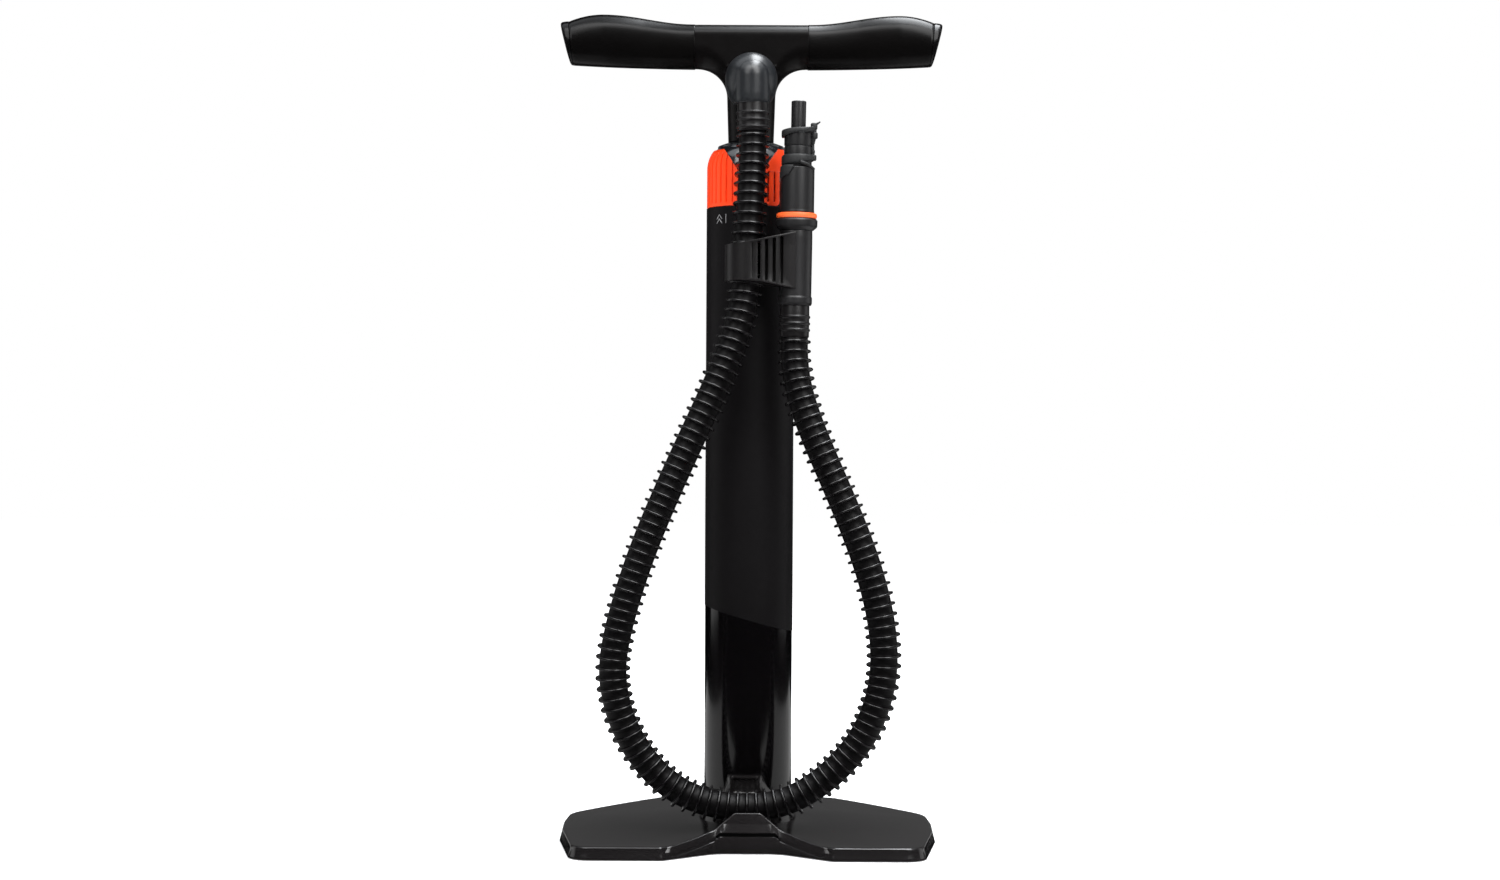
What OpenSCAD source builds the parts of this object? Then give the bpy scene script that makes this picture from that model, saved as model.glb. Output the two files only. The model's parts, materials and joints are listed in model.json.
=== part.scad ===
// Hand air pump with a T-handle, a foot-held base and a clipped hose.
// Origin: centre of the footprint, on the barrel's axis, at floor level. +Z is up, -Y is the front.

/* [Barrel] */
// Outer radius of the barrel tube
barrel_r = 31.3; // [31:0.1:31.6]
// Wall of the barrel tube
barrel_wall = 2.5; // [2.3:0.1:2.7]
// Height of the barrel's upper end
barrel_top = 452.5; // [450:0.5:455]
// Thickness of the matte sleeve on the barrel
wrap_t = 0.3; // [0.2:0.1:0.4]
// Middle height of the sleeve's slanting lower edge
wrap_low = 159; // [140:1:180]
// Slant of the sleeve's lower edge in degrees
wrap_slant = 16; // [0:1:20]

/* [Cap] */
// Radius of the orange collar
collar_r = 31.4; // [31.2:0.1:31.6]
// Number of grip grooves round the collar
collar_grooves = 38; // [24:2:48]
// Height of the cap's flat top
cap_top = 500; // [499:0.5:501]

/* [Rod and piston] */
// Outer radius of the hollow rod
rod_r = 11; // [10.8:0.1:11.2]
// Bore radius of the hollow rod
rod_bore = 8; // [7.6:0.1:8.2]
// Radial clearance of running fits
run = 0.05; // [0.03:0.01:0.08]

/* [Handle] */
// Height of the flat top of the hub
hub_top = 584.6; // [583:0.2:586]
// Half width of the hub between the grips
hub_half = 40.5; // [38:0.5:43]
// Width of the handle before its ends lean in
handle_w = 275.2; // [273:0.2:278]
// Height of the crown of each grip above the hub's top
grip_rise = 7; // [4:0.5:8]
// Half depth of the grips, front to back
grip_deep = 17.5; // [16:0.5:19]

/* [Elbow] */
// Height of the swivel's axis
swivel_z = 542; // [541:0.5:543]
// Radius of the elbow's dome
dome_r = 18.6; // [17:0.2:19]
// Distance of the dome's centre in front of the barrel's axis
dome_out = 42; // [41:0.5:43]

/* [Hose] */
// Radius of the hose over its ribs
hose_r = 12.5; // [12:0.1:12.7]
// Radius of the hose's bore in this plain model
hose_bore = 10.6; // [10:0.1:11]

/* [Connector] */
// Lean of the connector to the right in degrees
conn_lean = 0.85; // [0:0.05:2]
// Radius of the connector's grip
conn_r = 11.3; // [11:0.1:11.6]
// Radius of the thin nozzle
nozzle_r = 5.2; // [4.5:0.1:5.5]
// Length of the thin nozzle
nozzle_len = 21; // [15:1:24]

/* [Base] */
// Overall width of the base
base_w = 271; // [264:1:280]
// Overall depth of the base
base_d = 195; // [188:1:200]
// Height of the foot rests at their outer edge
rest_h = 9.2; // [8.2:0.5:10.2]
// Wall of the moulded base
base_wall = 3; // [2.5:0.5:3.5]

/* [Hidden] */
$fn = 64;

// colours
gloss_black = [0.03, 0.03, 0.035];
matte_black = [0.07, 0.07, 0.075];
charcoal = [0.16, 0.17, 0.19];
orange = [0.95, 0.27, 0.08];
seal_black = [0.1, 0.1, 0.1];
steel = [0.7, 0.71, 0.73];
acetal = [0.85, 0.85, 0.82];
grey_tube = [0.55, 0.56, 0.58];

// barrel and foot
bore_r = barrel_r - barrel_wall;
barrel_z = 8;
floor_t = 3;
plug_top = 24;
screw_ring = 20;
screw_r = 1.8;

// cap
cap_out = collar_r - 2.1;
cap_low = 436;
dome_z = 480;
dome_mid = 19;
dome_rise = 16.5;
bush_r = 14;
air_in = 18;
air_out = 25.2;
seat_z = 440;
groove_r = 26.8;
groove_z = 442;
collar_rise = 17.8;
ledge_z = 477;

// piston, with the handle right down
piston_z = 27;
piston_top = 52;
piston_r = bore_r - 0.5;
rod_foot = 35;
rod_top = 556;

// handle
hub_low = 553;
hub_fillet = 21;
stem_z = cap_top + 0.3;
stem_r_low = 16.3;
stem_r_high = 17.3;
tube_z = 569.5;
tube_r = 10;
tube_half = 128;
grip_end = 131;
grip_lean = 0.1;
end_lean = 0.24;

// elbow
spigot_r = 9;
spigot_bore = 6.2;
face_y = 20;
elbow_back = 23.7;
neck_z = 523.5;
neck_x = 1.3;
cuff_r = 11.2;
cuff_rib_r = 12;
cuff_top_len = 20;
cuff_end_len = 22;

// connector, in its own frame with z = 0 at its lower end
conn_at = [31.3, -47.5, 381];
body_top = 52;
clip_end = 27;
spigot_top = 87;
sleeve_low = 64.7;
sleeve_top = 98;
adapter_top = 122;

// clip round the hose
clip_at = [-2.3, -49.3];
clip_bore = 13.5;
clip_out = 16.4;

// base
pad_r = 9;
pad_top = 2.5;
skirt_low = 1;
corner_r = 12;
boss_r = 34.5;
boss_top = 38;
saddle_z = 16.2;
tab_y = 61.3;
tab_t = 4.7;
tab_top = 28.6;
lug_half = 12.6;
lug_top = 50.6;

// centreline of the hose, from the cuff under the elbow to the cuff at the connector
hose_route = [
    [1.3, -42, 503.5], [1.2, -43, 488], [0.5, -46, 468], [-0.5, -48.5, 445], [-1.4, -49, 427],
    [-2.5, -49.5, 408], [-3.5, -50, 392], [-7, -52, 370], [-18, -55, 337], [-36, -59, 297],
    [-56, -63, 253], [-75, -65, 207], [-88, -64, 165], [-94, -62, 136], [-94, -60, 115],
    [-87, -56, 87], [-70, -52, 59], [-48, -49.5, 40], [-24, -48.2, 31.5], [0, -48, 29],
    [24, -48.4, 32], [46, -49.5, 43.5], [66, -52, 61], [82, -54.5, 82], [92, -58, 109],
    [95, -61, 136], [91, -63, 170], [79, -62.5, 211], [60, -60, 256], [42, -55, 297],
    [33, -51, 326], [31, -48.4, 346], [31, -47.5, 359]
];
// plan of one foot rest: corner circle centres and the height of the top there
rest_plan = [
    [34, -51, 13], [57, corner_r - base_d / 2, rest_h],
    [base_w / 2 - corner_r - 13, corner_r - base_d / 2, rest_h],
    [base_w / 2 - corner_r - 1.5, -20, rest_h], [base_w / 2 - corner_r, 12, rest_h],
    [base_w / 2 - corner_r - 5, 46, 10], [60, base_d / 2 - corner_r, 16], [57, 20, 16.5]
];
core_plan = [[57, 20, 16.5], [60, base_d / 2 - corner_r, 16], [34, -51, 13]];
pad_places = [[106, -80], [117, 16], [67, 75]];

// ---- helpers ----
module ring(r_out, r_in, z0, z1) {
    rotate_extrude() translate([r_in, z0]) square([r_out - r_in, z1 - z0]);
}

// things whose axis points to the front, along -Y, at the swivel's height
module on_swivel() {
    translate([0, 0, swivel_z]) rotate([90, 0, 0]) children();
}

module on_connector() {
    translate(conn_at) rotate([0, conn_lean, 0]) children();
}

module both_sides() {
    children();
    mirror([1, 0, 0]) children();
}

function unit(v) = v / norm(v);

// point at u in 0..1 on the smooth curve between points i and i + 1
function curve_at(p, i, u) =
    let (a = p[max(i - 1, 0)], b = p[i], c = p[i + 1], d = p[min(i + 2, len(p) - 1)])
    0.5 * (2 * b + (c - a) * u + (2 * a - 5 * b + 4 * c - d) * u * u
        + (3 * b - a - 3 * c + d) * u * u * u);

// every route point, with one more on the curve between neighbours that are far apart
function refined(p, far) = [
    for (i = [0 : len(p) - 2])
        for (u = norm(p[i + 1] - p[i]) > far ? [0, 0.5] : [0])
            curve_at(p, i, u),
    p[len(p) - 1]
];

function tangent(p, i) = unit(p[min(i + 1, len(p) - 1)] - p[max(i - 1, 0)]);

function ring_points(p, i, r, sides) =
    let (t = tangent(p, i), n = unit(cross([0, 1, 0], t)), b = cross(t, n))
    [for (k = [0 : sides - 1]) p[i] + r * (cos(360 * k / sides) * n + sin(360 * k / sides) * b)];

// tube swept along the points p
module swept_tube(p, r_out, r_in, sides) {
    n = len(p);
    outer = [for (i = [0 : n - 1]) each ring_points(p, i, r_out, sides)];
    inner = [for (i = [0 : n - 1]) each ring_points(p, i, r_in, sides)];
    m = n * sides;
    last = (n - 1) * sides;
    walls = [
        for (i = [0 : n - 2], k = [0 : sides - 1])
            let (a = i * sides + k, b = i * sides + (k + 1) % sides)
            each [[a, a + sides, b], [b, a + sides, b + sides],
                [m + a, m + b, m + a + sides], [m + b, m + b + sides, m + a + sides]]
    ];
    ends = [
        for (k = [0 : sides - 1])
            let (j = (k + 1) % sides)
            each [[k, j, m + k], [j, m + j, m + k],
                [last + k, m + last + k, last + j], [last + j, m + last + k, m + last + j]]
    ];
    polyhedron(points = concat(outer, inner), faces = concat(walls, ends), convexity = 10);
}

// ---- base ----
// slab over a plan of corner circles, each with its own top height
module slab(plan, inset, low, drop) {
    hull() for (c = plan) translate([c[0], c[1], low])
        cylinder(r1 = corner_r - inset, r2 = corner_r - inset - 1.5, h = c[2] - drop - low, $fn = 32);
}

module core_slab(inset, low, drop) {
    hull() both_sides() for (c = core_plan) translate([c[0], c[1], low])
        cylinder(r = corner_r - inset, h = c[2] - drop - low, $fn = 32);
}

module base_shell() {
    difference() {
        union() {
            both_sides() slab(rest_plan, 0, skirt_low, 0);
            core_slab(0, skirt_low, 0);
        }
        both_sides() slab(rest_plan, base_wall, -1, base_wall);
        core_slab(base_wall, -1, base_wall);
    }
}

module base_ribs() {
    for (y = [-40, 0, 40]) translate([-100, y - 1, 4]) cube([200, 2, 5.4]);
    both_sides() translate([56, -75, 4]) cube([2, 150, 5.4]);
    both_sides() for (p = pad_places) translate([p[0], p[1], pad_top])
        cylinder(r = pad_r + 1.5, h = 5);
}

// front wall with the tab that keeps the hose in its saddle
module front_tab() {
    profile = [[-57, 1.5], [-57, rest_h], [-21.7, 17], [-lug_half + 3, tab_top],
        [lug_half - 3, tab_top], [21.7, 17], [57, rest_h], [57, 1.5]];
    translate([0, -tab_y, 0]) rotate([90, 0, 0]) linear_extrude(tab_t) polygon(profile);
    translate([-21, -tab_y - tab_t - 1.5, skirt_low + 0.5]) cube([42, 2, 10]);
}

module barrel_socket() {
    translate([0, 0, barrel_z - floor_t]) cylinder(r = boss_r, h = boss_top - barrel_z + floor_t);
    translate([0, 0, 13]) cylinder(r1 = 43, r2 = boss_r, h = 9);
    translate([-30, -tab_y - 1, 10]) cube([60, tab_y - 25, saddle_z - 10]);
    intersection() {
        translate([0, 0, saddle_z]) cylinder(r = boss_r + 0.5, h = lug_top - saddle_z);
        translate([-lug_half, -boss_r - 2, 0]) cube([2 * lug_half, 20, lug_top]);
    }
}

module base_plate() {
    color(gloss_black) difference() {
        union() {
            base_shell();
            base_ribs();
            front_tab();
            barrel_socket();
        }
        translate([0, 0, barrel_z]) cylinder(r = barrel_r, h = 60);
        cylinder(r = 9, h = barrel_z + 1);
        for (a = [45 : 90 : 315]) rotate(a) translate([screw_ring, 0, 0])
            cylinder(r = screw_r + 0.3, h = barrel_z + 1);
    }
}

module foot_pads() {
    color(seal_black) both_sides() for (p = pad_places) translate([p[0], p[1], 0])
        cylinder(r = pad_r, h = pad_top);
}

module base_screws() {
    head_low = 2.6;
    color(steel) for (a = [45 : 90 : 315]) rotate(a) translate([screw_ring, 0, 0]) {
        translate([0, 0, head_low]) cylinder(r = 3.6, h = barrel_z - floor_t - head_low);
        translate([0, 0, barrel_z - floor_t]) cylinder(r = screw_r, h = 11);
    }
}

// ---- barrel ----
module barrel() {
    color(gloss_black) ring(barrel_r, bore_r, barrel_z, barrel_top);
}

module barrel_wrap() {
    color(matte_black) difference() {
        ring(barrel_r + wrap_t, barrel_r, wrap_low - 20, barrel_top - 0.3);
        translate([0, 0, wrap_low]) rotate([0, wrap_slant, 0]) translate([-60, -60, -80])
            cube([120, 120, 80]);
    }
}

module barrel_plug() {
    seat = 18;
    color(matte_black) difference() {
        rotate_extrude() polygon([[0, barrel_z], [bore_r - run, barrel_z], [bore_r - run, 14],
            [26, 14], [26, 17], [bore_r - run, 17], [bore_r - run, plug_top], [12, plug_top],
            [12, seat], [0, seat]]);
        translate([0, 0, barrel_z - 1]) cylinder(r = 1.95, h = 12);
        for (a = [0 : 60 : 300]) rotate(a) translate([6.5, 0, barrel_z - 1]) cylinder(r = 2, h = 12);
        for (a = [45 : 90 : 315]) rotate(a) translate([screw_ring, 0, barrel_z - 1])
            cylinder(r = screw_r, h = 9);
    }
}

module plug_seal() {
    color(seal_black) ring(bore_r, 26, 14.2, 16.8);
}

module intake_valve() {
    color(orange) {
        translate([0, 0, 18.05]) cylinder(r = 10.5, h = 1.4);
        translate([0, 0, 11.5]) cylinder(r = 1.9, h = 7);
    }
}

// ---- cap ----
// quarter-ellipse shoulder between two angles, up or down
function shoulder(a, b, from, to) =
    [for (t = [from : from < to ? 12.5 : -12.5 : to]) [dome_mid + a * cos(t), dome_z + b * sin(t)]];

module top_cap() {
    skirt = bore_r - run;
    hole = rod_r + 0.3;
    seal_z = 470;
    seal_top = 477.5;
    hollow = [[air_in, seat_z + 3], [air_out, seat_z + 3], [air_out, 478], [23, 486], [air_in, 488]];
    color(gloss_black) difference() {
        rotate_extrude() polygon(concat(
            [[hole, cap_top], [19.5, cap_top], [22.6, cap_top - 2]],
            shoulder(cap_out - dome_mid, dome_rise, 62.5, 0),
            [[cap_out, barrel_top], [skirt, barrel_top], [skirt, groove_z + 3], [groove_r, groove_z + 3],
             [groove_r, groove_z], [skirt, groove_z], [skirt, cap_low], [air_out, cap_low],
             [air_out, seat_z], [air_in, seat_z], [air_in, cap_low], [bush_r, cap_low],
             [bush_r, seal_z], [bush_r + 1.4, seal_z], [bush_r + 1.4, seal_top], [hole, seal_top]]));
        rotate_extrude() polygon(hollow);
        for (a = [0 : 60 : 300]) rotate(a) translate([(air_in + air_out) / 2, 0, seat_z - 2])
            cylinder(r = 2, h = 8);
        translate([0, 15, 484]) rotate([-90, 0, 0]) cylinder(r = 2, h = 20);
    }
}

module cap_collar() {
    notch = [[-20.5, 497], [-2.5, 470], [2.5, 470], [20.5, 497]];
    gap = 0.05;
    slot_w = 5.2;
    color(orange) difference() {
        rotate_extrude() polygon(concat(
            [[cap_out + gap, barrel_top], [collar_r, barrel_top]],
            shoulder(collar_r - dome_mid, collar_rise, 0, 62.5),
            shoulder(cap_out + gap - dome_mid, dome_rise + gap, 62.5, 0)));
        for (side = [0, 180]) rotate(side) translate([0, -10, 0]) rotate([90, 0, 0])
            linear_extrude(30) polygon(notch);
        for (side = [0, 180]) rotate(side - 43) translate([cap_out - 1, -slot_w / 2, barrel_top - 1])
            cube([5, slot_w, ledge_z - barrel_top + 1]);
        for (k = [0 : collar_grooves - 1]) rotate((k + 0.5) * 360 / collar_grooves)
            translate([collar_r - 0.7, -0.6, barrel_top + 3]) cube([3, 1.2, 24]);
    }
}

module cap_seal() {
    color(seal_black) ring(bore_r, groove_r, groove_z + 0.2, groove_z + 2.8);
}

module cap_valve() {
    color(orange) ring(air_out - 0.1, air_in + 0.1, seat_z - 1.5, seat_z - 0.05);
}

module rod_bush() {
    color(acetal) ring(bush_r, rod_r + run, 440, 468);
}

module rod_seal() {
    color(seal_black) ring(15.3, rod_r + run, 470.3, 477);
}

// ---- rod and piston ----
module piston_rod() {
    color(grey_tube) difference() {
        ring(rod_r, rod_bore, rod_foot, rod_top);
        on_swivel() cylinder(r = spigot_bore, h = 30);
        for (a = [0, 90]) rotate(a) translate([0, 0, 64]) rotate([90, 0, 0])
            cylinder(r = 2, h = 40, center = true);
    }
}

module rod_band() {
    color(seal_black) ring(rod_bore, rod_bore - 0.8, 60, 68);
}

module piston_body() {
    chamber = 10;
    seat = 30;
    color(matte_black) difference() {
        rotate_extrude() polygon([[0, piston_z], [piston_r, piston_z], [piston_r, 33], [25, 33],
            [25, 41], [piston_r, 41], [piston_r, 45], [26, 45], [26, 49.5], [piston_r, 49.5],
            [piston_r, piston_top], [rod_r, piston_top], [rod_r, rod_foot], [chamber, rod_foot],
            [chamber, seat], [0, seat]]);
        translate([0, 0, piston_z - 1]) cylinder(r = 1.55, h = 6);
        for (a = [0 : 60 : 300]) rotate(a) translate([5.5, 0, piston_z - 1])
            cylinder(r = 1.6, h = 6);
    }
}

module piston_seal() {
    color(seal_black) rotate_extrude() polygon([[25, 33.2], [bore_r - run, 33.2],
        [bore_r - run, 35.5], [bore_r - 1.2, 37], [bore_r - run, 38.5], [bore_r - run, 40.8],
        [25, 40.8]]);
}

module piston_ring() {
    color(acetal) ring(bore_r - run, 26, 45.2, 49.3);
}

module piston_nut() {
    color(acetal) difference() {
        translate([0, 0, piston_top]) cylinder(r = 17, h = 6, $fn = 6);
        translate([0, 0, piston_top - 1]) cylinder(r = rod_r, h = 8);
    }
}

module delivery_valve() {
    color(orange) {
        translate([0, 0, 30.05]) cylinder(r = 8.5, h = 1.2);
        translate([0, 0, 27.5]) cylinder(r = 1.5, h = 3);
    }
}

// ---- handle ----
// hub seen from the front: flat top, filleted down into the stem
module hub_outline() {
    fillet_x = stem_r_high + hub_fillet;
    fillet_z = hub_low - hub_fillet;
    right = concat([[hub_half, hub_top], [hub_half, hub_low]],
        [for (t = [90 : 10 : 180]) [fillet_x + hub_fillet * cos(t), fillet_z + hub_fillet * sin(t)]]);
    left = [for (i = [len(right) - 1 : -1 : 0]) [-right[i][0], right[i][1]]];
    polygon(concat(right, left));
}

// hub seen from the side: rounded over the top, straight below
module hub_section() {
    mid = (hub_top + hub_low) / 2;
    rise = (hub_top - hub_low) / 2;
    polygon(concat([for (t = [0 : 10 : 180]) [grip_deep * cos(t), mid + rise * sin(t)]],
        [[-stem_r_high, hub_low - hub_fillet], [stem_r_high, hub_low - hub_fillet]]));
}

module handle_hub() {
    color(gloss_black) difference() {
        union() {
            intersection() {
                translate([0, 30, 0]) rotate([90, 0, 0]) linear_extrude(60) hub_outline();
                rotate([0, 0, 90]) translate([0, 60, 0]) rotate([90, 0, 0]) linear_extrude(120)
                    hub_section();
            }
            translate([0, 0, stem_z]) cylinder(r1 = stem_r_low, r2 = stem_r_high,
                h = hub_low - hub_fillet - stem_z);
            on_swivel() cylinder(r = 15.5, h = face_y);
        }
        translate([0, 0, stem_z - 1]) cylinder(r = rod_r, h = rod_top - stem_z + 1);
        translate([-60, 0, tube_z]) rotate([0, 90, 0]) cylinder(r = tube_r, h = 120);
        on_swivel() cylinder(r = spigot_r, h = 40);
        for (z = [510, 524]) translate([0, 8, z]) rotate([-90, 0, 0]) {
            cylinder(r = screw_r, h = 12);
            translate([0, 0, 6.5]) cylinder(r = 3.6, h = 12);
        }
    }
}

module hub_screws() {
    color(steel) for (z = [510, 524]) translate([0, rod_r + 0.2, z]) rotate([-90, 0, 0]) {
        cylinder(r = screw_r, h = 3.3);
        translate([0, 0, 3.3]) cylinder(r = 3.6, h = 1.6);
    }
}

module cross_tube() {
    color(steel) translate([-tube_half, 0, tube_z]) rotate([0, 90, 0]) difference() {
        cylinder(r = tube_r, h = 2 * tube_half);
        translate([0, 0, -1]) cylinder(r = tube_r - 1.6, h = 2 * tube_half + 2);
    }
}

// height of the grip's top and underside at t = 0 (hub) to 1 (end)
crown = 0.73;
function grip_top(t) = t < crown
    ? hub_top + grip_rise * pow(sin(90 * t / crown), 2)
    : hub_top + grip_rise - 5 * pow((t - crown) / (1 - crown), 2);
function grip_low(t) = hub_low + 4 * t * t;
function grip_depth(t) = grip_deep - 1.2 * sin(180 * min(t / crown, 1));

// one rounded section of the grip, t along it, s its size and lean how much its foot sets in
function grip_section(t, x, s, lean, sides) =
    let (top = grip_top(min(t, 1)), low = grip_low(min(t, 1)), mid = (top + low) / 2)
    [for (k = [0 : sides - 1])
        let (a = 360 * k / sides, z = mid + s * (top - low) / 2 * sin(a))
        [x - lean * pow(min(t, 1), 4) * (top - z), s * grip_depth(min(t, 1)) * cos(a), z]];

// solid lofted through sections that each have the same number of points
module loft(sections) {
    n = len(sections);
    sides = len(sections[0]);
    walls = [
        for (i = [0 : n - 2], k = [0 : sides - 1])
            let (a = i * sides + k, b = i * sides + (k + 1) % sides)
            each [[a, b, a + sides], [b, b + sides, a + sides]]
    ];
    polyhedron(
        points = [for (s = sections) each s],
        faces = concat(walls, [[for (k = [sides - 1 : -1 : 0]) k]],
            [[for (k = [0 : sides - 1]) (n - 1) * sides + k]]),
        convexity = 6);
}

module grip() {
    steps = 14;
    color(matte_black) difference() {
        loft([for (i = [0 : steps]) let (t = i / steps)
            grip_section(t, hub_half + t * (grip_end - hub_half), 1, grip_lean, 28)]);
        translate([0, 0, tube_z]) rotate([0, 90, 0]) cylinder(r = tube_r, h = tube_half + 0.3);
    }
}

// plug in the end of a grip: straight, then rounded over to a leaning face
module end_cap() {
    start = grip_end + 0.2;
    long = handle_w / 2 - start;
    shape = [[0, 0.99], [0.45, 0.99], [0.7, 0.955], [0.87, 0.88], [0.96, 0.78], [1, 0.5]];
    color(gloss_black) loft([for (p = shape)
        grip_section(1, start + long * p[0], p[1], grip_lean + (end_lean - grip_lean) * p[0], 28)]);
}

module right_grip() { grip(); }
module left_grip() { mirror([1, 0, 0]) grip(); }
module right_end_cap() { end_cap(); }
module left_end_cap() { mirror([1, 0, 0]) end_cap(); }

// ---- swivel and elbow ----
module outlet_spigot() {
    color(acetal) on_swivel() rotate_extrude() polygon([[spigot_bore, rod_r + 0.1],
        [spigot_r, rod_r + 0.1], [spigot_r, 29], [7.6, 29], [7.6, 31], [spigot_r, 31],
        [spigot_r, 37.4], [8, 37.4], [8, 38.6], [spigot_r, 38.6], [spigot_r, 41],
        [spigot_bore, 41]]);
}

module union_collar() {
    color(matte_black) on_swivel() ring(15.5, spigot_r, face_y, elbow_back - 0.3);
}

module elbow_seal() {
    color(seal_black) on_swivel() ring(spigot_r, 7.6, 29.1, 30.9);
}

module elbow_clip() {
    color(steel) on_swivel() ring(10.8, 8, 37.5, 38.5);
}

module swivel_elbow() {
    color(charcoal) difference() {
        hull() {
            translate([0, -dome_out, swivel_z]) sphere(r = dome_r, $fn = 40);
            on_swivel() translate([0, 0, elbow_back]) cylinder(r = 15.6, h = 2, $fn = 40);
            translate([neck_x, -dome_out, neck_z]) cylinder(r = 12, h = 1, $fn = 40);
        }
        on_swivel() translate([0, 0, elbow_back - 1]) cylinder(r = spigot_r + run, h = 20);
        on_swivel() translate([0, 0, 36]) cylinder(r = 11.4, h = 14);
        translate([neck_x, -dome_out, neck_z - 1]) cylinder(r = 8, h = 20);
    }
}

// ---- hose ----
module cuff(length, ribs, first, pitch) {
    rotate_extrude() polygon([[8, 0], [cuff_r, 0], [cuff_r, length], [8, length]]);
    for (k = [0 : ribs - 1]) ring(cuff_rib_r, cuff_r - 0.5, first + k * pitch, first + k * pitch + 1.8);
}

module hose_cuff_top() {
    color(matte_black) translate([neck_x, -dome_out, neck_z]) rotate([180, 0, 0])
        cuff(cuff_top_len, 3, 7, 5);
}

module hose() {
    color(matte_black) swept_tube(refined(hose_route, 22), hose_r, hose_bore, 12);
}

module hose_cuff_end() {
    color(matte_black) on_connector() translate([0, 0, -cuff_end_len])
        cuff(cuff_end_len, 4, 2, 5);
}

// ---- connector ----
module connector_body() {
    color(charcoal) on_connector() rotate_extrude() polygon([[7, 0], [12, 0], [12, 5],
        [conn_r, 6], [conn_r, body_top - 1], [conn_r - 1, body_top], [spigot_r, body_top],
        [spigot_r, 78], [7.6, 78], [7.6, 80.5], [spigot_r, 80.5], [spigot_r, spigot_top],
        [6.4, spigot_top], [6.4, 60], [7, 58]]);
}

module coupling_seal() {
    color(seal_black) on_connector() ring(spigot_r, 7.6, 78.1, 80.4);
}

// clip that is fixed on the connector's left side and holds the hose's upper run
module hose_clip() {
    side = [[-20, 398], [2, 395], [22, 391], [clip_end, 390.6], [clip_end, 430.4], [22, 430],
        [2, 424], [-20, 420]];
    slots = [6.6, 11.8, 17.1, 22.4];
    slot_w = 2;
    color(matte_black) difference() {
        intersection() {
            translate([0, 0, 385]) linear_extrude(50) hull() {
                translate(clip_at) circle(r = clip_out, $fn = 48);
                translate([conn_at[0], conn_at[1]]) circle(r = conn_r + 1.2, $fn = 48);
            }
            translate([0, -20, 0]) rotate([90, 0, 0]) linear_extrude(60) polygon(side);
        }
        translate([clip_at[0], clip_at[1], 380]) cylinder(r = clip_bore, h = 60);
        on_connector() cylinder(r = conn_r, h = 60);
        translate([clip_at[0], clip_at[1], 380]) rotate(120) translate([0, -9, 0]) cube([40, 18, 60]);
        for (x = slots) translate([x - slot_w / 2, conn_at[1] - 20, 396]) cube([slot_w, 11, 29]);
    }
}

module lock_ring() {
    notches = 16;
    color(charcoal) on_connector() difference() {
        ring(14.6, spigot_r + run, 52.2, 60.8);
        for (k = [0 : notches - 1]) rotate(k * 360 / notches) translate([15.3, 0, 54])
            cylinder(r = 1.2, h = 5);
    }
}

module gasket_ring() {
    color(orange) on_connector() ring(14.2, spigot_r + run, 60.8, 64.7);
}

module coupling_sleeve() {
    color(charcoal) on_connector() rotate_extrude() polygon([[spigot_r + run, sleeve_low],
        [12.2, sleeve_low], [12, 80], [11.8, sleeve_top], [8.3, sleeve_top], [8.3, 88],
        [spigot_r + run, 88]]);
}

module nozzle_adapter() {
    color(charcoal) on_connector() rotate_extrude() polygon([[3.5, 88.5], [8.25, 88.5],
        [8.25, sleeve_top + 0.3], [9.8, sleeve_top + 0.3], [9.8, adapter_top - 2],
        [8.8, adapter_top], [nozzle_r, adapter_top], [nozzle_r, adapter_top + nozzle_len],
        [3.5, adapter_top + nozzle_len]]);
}

// rubber leash: two tilted bands, a beaded strip between them, a knob with a tail and a tongue
module adapter_strap() {
    color(seal_black) on_connector() difference() {
        union() {
            translate([0, 0, 102]) rotate([0, -10, 0]) ring(12.3, 8, -2.4, 2.4);
            translate([0, 0, 121]) rotate([0, -12, 0]) ring(11.6, 8, -1.8, 1.8);
            translate([9.5, -2, 103]) cube([2.4, 4, 19]);
            for (z = [105 : 2.8 : 120]) translate([11.8, 0, z]) sphere(r = 1.6, $fn = 24);
            translate([11.5, 0, 124]) sphere(r = 2.4, $fn = 24);
            translate([11.5, 0, 124]) rotate([0, 60, 0]) cylinder(r = 1, h = 6);
            translate([-14.2, -4, 90]) cube([1.8, 8, 12]);
        }
        translate([0, 0, 80]) cylinder(r = 9.8, h = adapter_top - 80);
        translate([0, 0, 80]) cylinder(r = 12.4, h = sleeve_top + 0.3 - 80);
        translate([0, 0, 80]) cylinder(r = nozzle_r, h = 60);
    }
}

base_plate();
foot_pads();
base_screws();
barrel();
barrel_wrap();
barrel_plug();
plug_seal();
top_cap();
cap_collar();
cap_seal();
rod_bush();
rod_seal();
intake_valve();
cap_valve();
piston_rod();
piston_body();
piston_seal();
piston_ring();
piston_nut();
rod_band();
delivery_valve();
handle_hub();
cross_tube();
left_grip();
right_grip();
left_end_cap();
right_end_cap();
hub_screws();
outlet_spigot();
union_collar();
elbow_seal();
elbow_clip();
swivel_elbow();
hose_cuff_top();
hose();
hose_cuff_end();
connector_body();
coupling_seal();
hose_clip();
lock_ring();
gasket_ring();
coupling_sleeve();
nozzle_adapter();
adapter_strap();
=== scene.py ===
"""Looks of the hand air pump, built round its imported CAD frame.

The frame is in metres with +Z up and the pump's front facing -Y. Shapes below are written in
millimetres in the same frame and scaled once, where their mesh is made.
"""
import json
import math

import bmesh
import bpy
from mathutils import Matrix, Vector


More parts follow.
